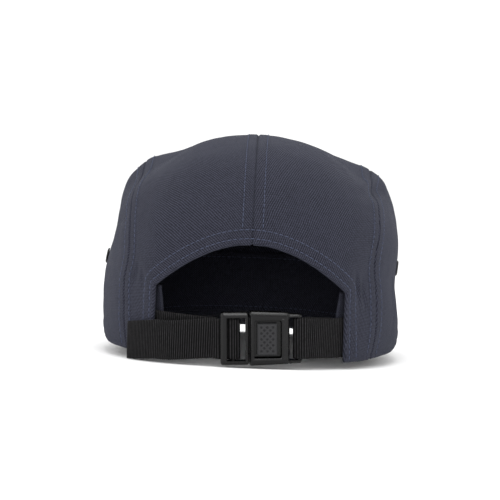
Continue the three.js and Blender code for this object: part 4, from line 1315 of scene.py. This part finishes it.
def twill(weave, place, pitch, relief_shade, mottle, speckle):
    """Diagonal ribs of short yarn floats, with painted shade in their grooves and painted light on their
    crowns, and the mottle of dyed cotton.
    """
    over, up, _ = weave.parts()
    across = over / pitch + place.noise(90.0) * 1.6
    along = up / pitch
    line = (across * math.tau).math("SINE")
    number = (across + 0.25).math("FLOOR")
    floats = ((along * 0.62 + number * 0.38) * math.tau).math("SINE")
    height = line * 0.36 + floats * 0.12 + place.noise(1600.0, 3.0, 0.6) * 0.3 + 0.35
    # Painted shade and light: the weave's height darkens the grooves and lightens the crowns; the mottle
    # and the speckle are the cotton's own tone
    shade = (height - 0.5) * relief_shade + (place.noise(45.0, 4.0, 0.6) - 0.5) * mottle
    shade = shade + (place.noise(800.0, 2.0, 0.7) - 0.5) * speckle
    return {"Shade": (shade + 1.0).math("MAXIMUM", 0.2), "Height": height}


def webbing_yarns_and_highlights(weave, place, rib, yarn):
    """Yarns across the ribs of nylon webbing, with painted highlights on the rib ridges and on yarn glints,
    and painted shade in the grooves between the ribs.
    """
    over, up, _ = weave.parts()
    ribs = over / rib
    bead = ((up / yarn + ribs.math("FLOOR") * 0.5) * math.tau).math("SINE")
    # Painted highlight on each rib's ridge, falling to painted shade in the grooves between the ribs
    ridge = ((ribs * math.tau).math("COSINE") * 0.5 + 0.5).math("POWER", 3.2)
    # Painted glints on the yarns: random patches and the yarn beads lighten the ridges further
    glint = (place.noise(700.0, 3.0, 0.7) - 0.5) * 2.2 + (bead * 0.4 + 1.0)
    shade = ridge * glint.math("MAXIMUM", 0.1) * 5.0 + 0.02
    return {"Shade": shade, "Height": bead * 0.3 + place.noise(2200.0, 2.0, 0.6) * 0.35}


def moulded_grain(place, scale, gloss, spread):
    """Fine grain of moulded plastic, enamel or thread, and slight unevenness of its gloss."""
    broad = place.noise(130.0, 3.0, 0.6) - 0.5
    return {"Shade": broad * 0.25 + 1.0, "Roughness": gloss + broad * spread,
            "Height": place.noise(scale, 3.0, 0.6)}


def twill_group():
    numbers = {"Pitch": 0.001, "Contrast": 0.2, "Mottle": 0.12, "Speckle": 0.5}
    return node_group("Twill", ("Vector", "Place"), numbers, twill)


def webbing_group():
    return node_group("Webbing yarns", ("Vector", "Place"), {"Rib": 0.00095, "Yarn": 0.0006}, webbing_yarns_and_highlights)


def grain_group():
    numbers = {"Scale": 2500.0, "Gloss": 0.4, "Spread": 0.1}
    return node_group("Moulded grain", ("Place",), numbers, moulded_grain)


def place_group(tree, group, values):
    """The group in a material, laid by the object's own places and by the weave's coordinates."""
    node = tree.nodes.new("ShaderNodeGroup")
    node.node_tree = group
    places = tree.nodes.new("ShaderNodeTexCoord")
    tree.links.new(places.outputs["Object"], node.inputs["Place"])
    if "Vector" in node.inputs:
        tree.links.new(places.outputs["UV"], node.inputs["Vector"])
    for label, value in values.items():
        node.inputs[label].default_value = value
    return node


def textured(name, colour, group, values, bump_distance, bump_strength, finish):
    """A material whose shade, bumps and, where its finish names none, roughness come from a group."""
    if name in bpy.data.materials:
        return bpy.data.materials[name]
    material, tree, shader = new_material(name)
    node = place_group(tree, group, values)
    mix = tree.nodes.new("ShaderNodeVectorMath")
    mix.operation = "SCALE"
    mix.inputs[0].default_value = colour[:3]
    bump = tree.nodes.new("ShaderNodeBump")
    bump.inputs["Distance"].default_value = bump_distance
    bump.inputs["Strength"].default_value = bump_strength
    for label, value in finish.items():
        shader.inputs[label].default_value = value
    link = tree.links.new
    link(node.outputs["Shade"], mix.inputs["Scale"])
    link(mix.outputs[0], shader.inputs["Base Color"])
    link(node.outputs["Height"], bump.inputs["Height"])
    link(bump.outputs["Normal"], shader.inputs["Normal"])
    if "Roughness" not in finish:
        link(node.outputs["Roughness"], shader.inputs["Roughness"])
    return material


def cloth_material(name, colour):
    return textured(name, colour, twill_group(),
                    {"Pitch": 1.0 * MM, "Contrast": 1.5, "Mottle": 0.16, "Speckle": 1.1}, 0.22 * MM, 0.9,
                    {"Roughness": 0.92, "Specular IOR Level": 0.1, "Sheen Weight": 0.05,
                     "Sheen Roughness": 0.5, "Sheen Tint": (0.75, 0.8, 1, 1)})


def thread_material(colour):
    return textured("Sewing thread", colour, grain_group(), {"Scale": 3000.0}, 0.05 * MM, 1.0,
                    {"Roughness": 0.7, "Specular IOR Level": 0.2})


def webbing_material(colour, rib):
    return textured("Nylon webbing", colour, webbing_group(), {"Rib": rib}, 0.14 * MM, 0.9,
                    {"Roughness": 0.6, "Specular IOR Level": 0.08})


def moulded_material(name, colour, gloss, scale=2400.0, metallic=0.0):
    return textured(name, colour, grain_group(), {"Scale": scale, "Gloss": gloss, "Spread": 0.16},
                    0.03 * MM, 1.0, {"Metallic": metallic, "Specular IOR Level": 0.2})


# Stage
def lay_floor(pale):
    material, tree, shader = new_material("Pale floor")
    grain = place_group(tree, grain_group(), {"Scale": 40.0, "Gloss": 0.9, "Spread": 0.02})
    shader.inputs["Base Color"].default_value = (*pale, 1)
    tree.links.new(grain.outputs["Roughness"], shader.inputs["Roughness"])
    mesh = bpy.data.meshes.new("floor")
    build = bmesh.new()
    bmesh.ops.create_circle(build, cap_ends=True, radius=FLOOR_RADIUS, segments=96)
    build.to_mesh(mesh)
    build.free()
    mesh.materials.append(material)
    floor = put_down("floor", mesh)


def light(scene, settings):
    world = bpy.data.worlds.new("Studio")
    world.use_nodes = True
    background = world.node_tree.nodes["Background"]
    background.inputs["Color"].default_value = (1, 1, 1, 1)
    background.inputs["Strength"].default_value = settings.surround
    scene.world = world
    for name, (place, size) in LAMPS.items():
        lamp = bpy.data.lights.new(name, "AREA")
        lamp.energy = getattr(settings, name)
        lamp.size = size
        holder = put_down(name, lamp)
        holder.location = place
        holder.rotation_euler = (Vector(LAMP_AIM) - Vector(place)).to_track_quat("-Z", "Y").to_euler()


def aim_camera(scene):
    camera = bpy.data.cameras.new("camera")
    camera.lens = CAMERA_LENS
    camera.sensor_width = 36
    camera.clip_start = 0.05
    camera.clip_end = 100
    place, aim = Vector(CAMERA_PLACE) * MM, Vector(CAMERA_AIM) * MM
    turn = (aim - place).to_track_quat("-Z", "Y").to_matrix().to_4x4()
    roll = Matrix.Rotation(math.radians(CAMERA_ROLL), 4, "Z")
    scene.camera = put_down("camera", camera)
    scene.camera.matrix_world = Matrix.Translation(place) @ turn @ roll


# Operators
class CAP_OT_crown(Operator):
    """Cut and sew the five panels of the crown"""
    bl_idname = "cap.crown"
    bl_label = "Sew the crown"

    def execute(self, context):
        settings = context.scene.jockey_cap
        maker = Patternmaker(settings)
        cloth = cloth_material("Cotton twill", settings.finish.cloth)
        maker.front_panel(cloth)
        for hand, side in SIDES:
            maker.side_panel(hand, side, cloth)
            maker.top_panel(hand, side, cloth)
        return {"FINISHED"}


class CAP_OT_stitching(Operator):
    """Lay the rows of thread beside the seams and along the hems"""
    bl_idname = "cap.stitching"
    bl_label = "Stitch the seams and hems"

    def execute(self, context):
        settings = context.scene.jockey_cap
        maker = Patternmaker(settings)
        crown, seams = maker.crown, maker.seams
        thread = thread_material(settings.finish.thread)
        lines = [seams.top.at(np.linspace(0.03, 0.97, 160)),
                 seams.centre(np.linspace(0.03, 0.95, 160))]
        for hand, _ in SIDES:
            lines.append(seams.side[hand]["whole"].at(np.linspace(0.06, 0.985, 160)))
            lines.append(seams.front[hand].at(np.linspace(0.08, 0.97, 90)))
        rows = [crown.beside(line, sign * TOPSTITCH) for line in lines for sign in (1, -1)]
        edge = np.concatenate([seams.opening_edge(1)[::-1], seams.opening_edge(-1)[1:]])
        rows += [crown.beside(edge, -distance) for distance in HEM_ROWS]
        lift = ALLOWANCE_LIFT - 0.3 * STITCH_DIP
        rows = [maker.row(row, lift) for row in rows]
        sew("crown_stitching", rows, thread, "cloth")
        return {"FINISHED"}


class CAP_OT_peak(Operator):
    """Cover the peak and sew its rows"""
    bl_idname = "cap.peak"
    bl_label = "Cover the peak"

    def execute(self, context):
        settings = context.scene.jockey_cap
        crown, peak = Crown(settings.crown), settings.peak
        rim = lambda share: crown.round_rim(lerp(FRONT_SEAM_ANGLE, -FRONT_SEAM_ANGLE, share))
        inner_at = lambda share: crown.off(rim(share), np.full_like(share, -peak.gap))
        start, middle = inner_at(np.array([0.0, 0.5]))
        reach = start[1] - middle[1] + peak.projection
        turn = math.pi * (0.5 - np.linspace(0, 1, 240))
        side = np.sign(np.sin(turn)) * np.abs(np.sin(turn)) ** (2 / PEAK_SQUARENESS)
        forward = np.abs(np.cos(turn)) ** (2 / PEAK_SQUARENESS)
        outer_line = Line(stack(peak.half_width * side, start[1] - reach * forward, 0.0))

        def lay(across, out):
            near, far = inner_at(across) * (1, 1, 0), outer_line.at(across)
            place = lerp(near, far, out[..., None])
            away = np.linalg.norm(place - near, axis=-1)
            curl = peak.curl * away / peak.projection * (place[..., 0] / peak.half_width) ** 2
            place[..., 2] = peak.lap - peak.fall * away - curl
            return place, np.linalg.norm(far - near, axis=-1)

        across, out = np.meshgrid(*(np.linspace(0, 1, count) for count in PEAK_GRID))
        place, whole = lay(across, out)
        from_edge = (1 - out) * whole
        relief = PEAK_HEM_LIFT * within(from_edge, PEAK_HEM, 0.6 * MM)
        rows_at = np.arange(PEAK_FIRST_ROW, peak.projection, PEAK_ROW_PITCH)
        for row_at in rows_at:
            relief -= PEAK_ROW_DIP * bell(from_edge - row_at, 0.7 * MM)
        relief *= smoothstep(from_edge, -1 * MM, 0.5 * MM)
        top = place + stack(0.0, 0.0, relief - 0.1 * MM)
        bottom = place - stack(0.0, 0.0, peak.thickness + np.minimum(relief, 0))
        made = wall(top, bottom, quads_of(numbered(out)), turned(place[..., :2], 40),
                    np.where(out == 1, PEAK_ROUNDING, 0), rings=6)
        cloth = cloth_material("Cotton twill", settings.finish.cloth)
        make_piece("peak_cloth", *made, cloth, "cloth", ("peak",))

        rows = []
        share = np.linspace(0.01, 0.99, 260)
        width = lay(share, np.ones_like(share))[1]
        for row_at in rows_at:
            out = 1 - row_at / width
            kept = out > 0.03
            if np.count_nonzero(kept) > 20:
                line, _ = lay(share[kept], out[kept])
                up = np.tile((0.0, 0.0, 1.0), (len(line), 1))
                rows.append((line - up * PEAK_ROW_DIP, up))
                rows.append((line - up * (peak.thickness - PEAK_ROW_DIP), -up))
        sew("peak_stitching", rows, thread_material(settings.finish.thread), "cloth")
        return {"FINISHED"}


class CAP_OT_sweatband(Operator):
    """Sew the sweatband into the rim"""
    bl_idname = "cap.sweatband"
    bl_label = "Sew the sweatband"

    def execute(self, context):
        settings = context.scene.jockey_cap
        crown, band, opening, strap = Crown(settings.crown), settings.band, settings.opening, settings.strap

        def end_at(height, lead):
            return angle_of(crown.back_at(opening.half_width - lead, height))

        sewn = end_at(strap.height, -SEWN_LENGTH)

        def inwards_at(angle):
            """How far inside the crown the band lies: further where it passes the sewn webbing."""
            behind = smoothstep(np.abs(angle), *(sewn - step for step in BAND_STEP))
            return settings.crown.cloth + PLAY + BAND_SHIFT + behind * (strap.thickness + PLAY + 0.5 * MM)

        shares, inwards = [], []
        for up in graded(band.height, cell=BAND_CELL):
            height = lerp(band.foot, band.height, up)
            angle = np.linspace(-1, 1, BAND_COLUMNS) * end_at(height, band.lead * (1 - up))
            shares.append(crown.round_rim(angle, height))
            inwards.append(inwards_at(angle))
        shares = np.array(shares)
        middle = crown.point(shares)
        outer = crown.off(shares, inwards)
        relief = ripple(outer, *BAND_WAVES)
        for line in (middle[-1], middle[0]):
            relief -= STITCH_DIP * bell(distance_to(middle, line[::6]) - BAND_ROW, STITCH_DIP_WIDTH)
        inner = outer - crown.normal(shares) * (band.thickness + relief)[..., None]
        u = run_lengths(outer, 1)
        rounding = np.zeros(u.shape)
        rounding[0] = rounding[-1] = BAND_ROUNDING
        uv = turned(stack(u, middle[..., 2]), 45)
        made = wall(outer, inner, quads_of(numbered(u)), uv, rounding, rings=5)
        make_piece("sweatband_cloth", *made, cloth_material("Sweatband twill", settings.finish.band),
                   "band", ("sweatband",))
        rows = []
        for height in (band.foot + BAND_ROW, band.height - BAND_ROW):
            angle = np.linspace(-0.985, 0.985, 500) * end_at(height, 1 * MM)
            share = crown.round_rim(angle, height)
            normal = crown.normal(share)
            deep = inwards_at(angle) + band.thickness - 0.1 * MM
            rows.append((crown.point(share) - normal * deep[:, None], -normal))
        sew("sweatband_stitching", rows, thread_material(settings.finish.thread), "band")
        return {"FINISHED"}


class CAP_OT_eyelets(Operator):
    """Set the four eyelets into the side panels"""
    bl_idname = "cap.eyelets"
    bl_label = "Set the eyelets"

    def execute(self, context):
        settings = context.scene.jockey_cap
        crown, shape = Crown(settings.crown), settings.eyelet
        enamel = moulded_material("Black enamel", settings.finish.enamel, 0.32, 1800.0, 0.4)
        back = -settings.crown.cloth - 0.6 * MM
        barrel = shape.hole + 0.5 * MM
        across = lambda share: lerp(barrel, shape.flange, share)
        profile = rounded_line([(radius, height, 0) for radius, height in (
            (shape.hole, back - 0.3 * MM), (across(0.2), back - 0.6 * MM), (across(0.66), back - 0.5 * MM),
            (across(0.72), back - 0.2 * MM), (across(0.5), back), (barrel, back + 0.3 * MM),
            (barrel, 0.2 * MM), (across(0.5), 0.3 * MM), (across(0.96), 0.25 * MM), (across(1.0), 0.5 * MM),
            (across(0.86), 0.85 * MM), (across(0.5), 1.15 * MM), (across(0.2), 1.1 * MM),
            (shape.hole + 0.1 * MM, 0.8 * MM), (shape.hole, 0.2 * MM),
            (shape.hole, back - 0.3 * MM))], 4)[:-1]
        turns = np.arange(EYELET_SIDES) * math.tau / EYELET_SIDES
        ids = np.arange(EYELET_SIDES * len(profile)).reshape(EYELET_SIDES, -1)
        looped = np.pad(ids, ((0, 1), (0, 1)), mode="wrap")
        for hand, side in SIDES:
            for end, share in eyelet_places(crown, shape, hand):
                out = crown.normal(share)
                first = unit(np.cross(out, (0, 0, 1)))
                second = np.cross(out, first)
                wheel = np.cos(turns)[:, None] * first + np.sin(turns)[:, None] * second
                points = (crown.point(share) + wheel[:, None] * profile[None, :, :1]
                          + out * profile[None, :, 1:2])
                make_piece(f"eyelet_{side}_{end}_enamel", points.reshape(-1, 3), quads_of(looped).tolist(),
                           None, enamel, "eyelet", (f"eyelet_{side}_{end}",))
        return {"FINISHED"}


class CAP_OT_straps(Operator):
    """Thread both webbing straps"""
    bl_idname = "cap.straps"
    bl_label = "Thread the straps"

    def execute(self, context):
        settings = context.scene.jockey_cap
        crown = Crown(settings.crown)
        work = Strapwork(settings, crown, Buckle(settings, crown))
        nylon = webbing_material(settings.finish.webbing, settings.strap.rib)
        work.weave("strap_left_webbing", "strap_left", work.left(), nylon)
        work.weave("strap_right_webbing", "strap_right", work.right(), nylon)
        return {"FINISHED"}


class CAP_OT_buckle(Operator):
    """Mould the two halves of the buckle"""
    bl_idname = "cap.buckle"
    bl_label = "Mould the buckle"

    def execute(self, context):
        settings = context.scene.jockey_cap
        buckle = Buckle(settings, Crown(settings.crown))
        plastic = moulded_material("Moulded plastic", settings.finish.plastic, 0.26)
        grey = moulded_material("Button plastic", settings.finish.button, 0.5)
        plug = join(ladder_of(buckle), slide_of(buckle, buckle.slide_start, buckle.slide_depth),
                    tongue_of(buckle))
        socket = join(socket_body(buckle), socket_end(buckle),
                      slide_of(buckle, buckle.socket_end, buckle.end_depth), socket_ridge(buckle))
        button_end = buckle.window_end - BUTTON_MARGIN
        pad = dimpled_pad((button_end - BUTTON_LENGTH, button_end),
                          (0.5 * buckle.depth, buckle.depth - 0.2 * MM), BUTTON_HEIGHT,
                          settings.buckle.dimple)
        for name, (points, faces), material, nodes, sharp_angle in (
                ("plug", plug, plastic, ("buckle_plug",), SHARP),
                ("button", pad, grey, (), SHARP_ON_BUTTON),
                ("socket", socket, plastic, ("buckle_socket",), SHARP)):
            make_piece(f"buckle_{name}_moulding", buckle.place(points), faces, None, material,
                       "buckle", nodes, sharp_angle)
        return {"FINISHED"}


class CAP_OT_stage(Operator):
    """Set the floor, the lamps and the camera"""
    bl_idname = "cap.stage"
    bl_label = "Set the stage"

    def execute(self, context):
        settings = context.scene.jockey_cap.studio
        lay_floor(settings.floor)
        light(context.scene, settings)
        aim_camera(context.scene)
        context.scene.view_settings.view_transform = "Standard"
        return {"FINISHED"}


class CAP_PT_panel(Panel):
    """Sizes, colours and steps of the jockey cap"""
    bl_label = "Jockey cap"
    bl_idname = "CAP_PT_panel"
    bl_space_type = "VIEW_3D"
    bl_region_type = "UI"
    bl_category = "Cap"

    def draw(self, context):
        settings = context.scene.jockey_cap
        for label in JockeyCap.__annotations__:
            box = self.layout.box()
            box.label(text=label.capitalize())
            group = getattr(settings, label)
            for key in group.__annotations__:
                box.prop(group, key)
        for step in STEPS:
            self.layout.operator(step.bl_idname)


class JockeyCap(PropertyGroup):
    crown: PointerProperty(type=CrownShape)
    opening: PointerProperty(type=OpeningShape)
    peak: PointerProperty(type=PeakShape)
    band: PointerProperty(type=BandShape)
    strap: PointerProperty(type=StrapShape)
    buckle: PointerProperty(type=BuckleShape)
    eyelet: PointerProperty(type=EyeletShape)
    finish: PointerProperty(type=CapFinish)
    studio: PointerProperty(type=StudioLook)


SHAPES = (CrownShape, OpeningShape, PeakShape, BandShape, StrapShape, BuckleShape, EyeletShape,
          CapFinish, StudioLook, JockeyCap)
STEPS = (CAP_OT_crown, CAP_OT_stitching, CAP_OT_peak, CAP_OT_sweatband, CAP_OT_eyelets, CAP_OT_straps,
         CAP_OT_buckle, CAP_OT_stage)


def register():
    for shape in (*SHAPES, *STEPS, CAP_PT_panel):
        bpy.utils.register_class(shape)
    bpy.types.Scene.jockey_cap = PointerProperty(type=JockeyCap)


def unregister():
    del bpy.types.Scene.jockey_cap
    for shape in reversed((*SHAPES, *STEPS, CAP_PT_panel)):
        bpy.utils.unregister_class(shape)


def main():
    register()
    bpy.ops.cap.crown()
    bpy.ops.cap.stitching()
    bpy.ops.cap.peak()
    bpy.ops.cap.sweatband()
    bpy.ops.cap.eyelets()
    bpy.ops.cap.straps()
    bpy.ops.cap.buckle()
    bpy.ops.cap.stage()
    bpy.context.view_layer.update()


if __name__ == "__main__":
    main()
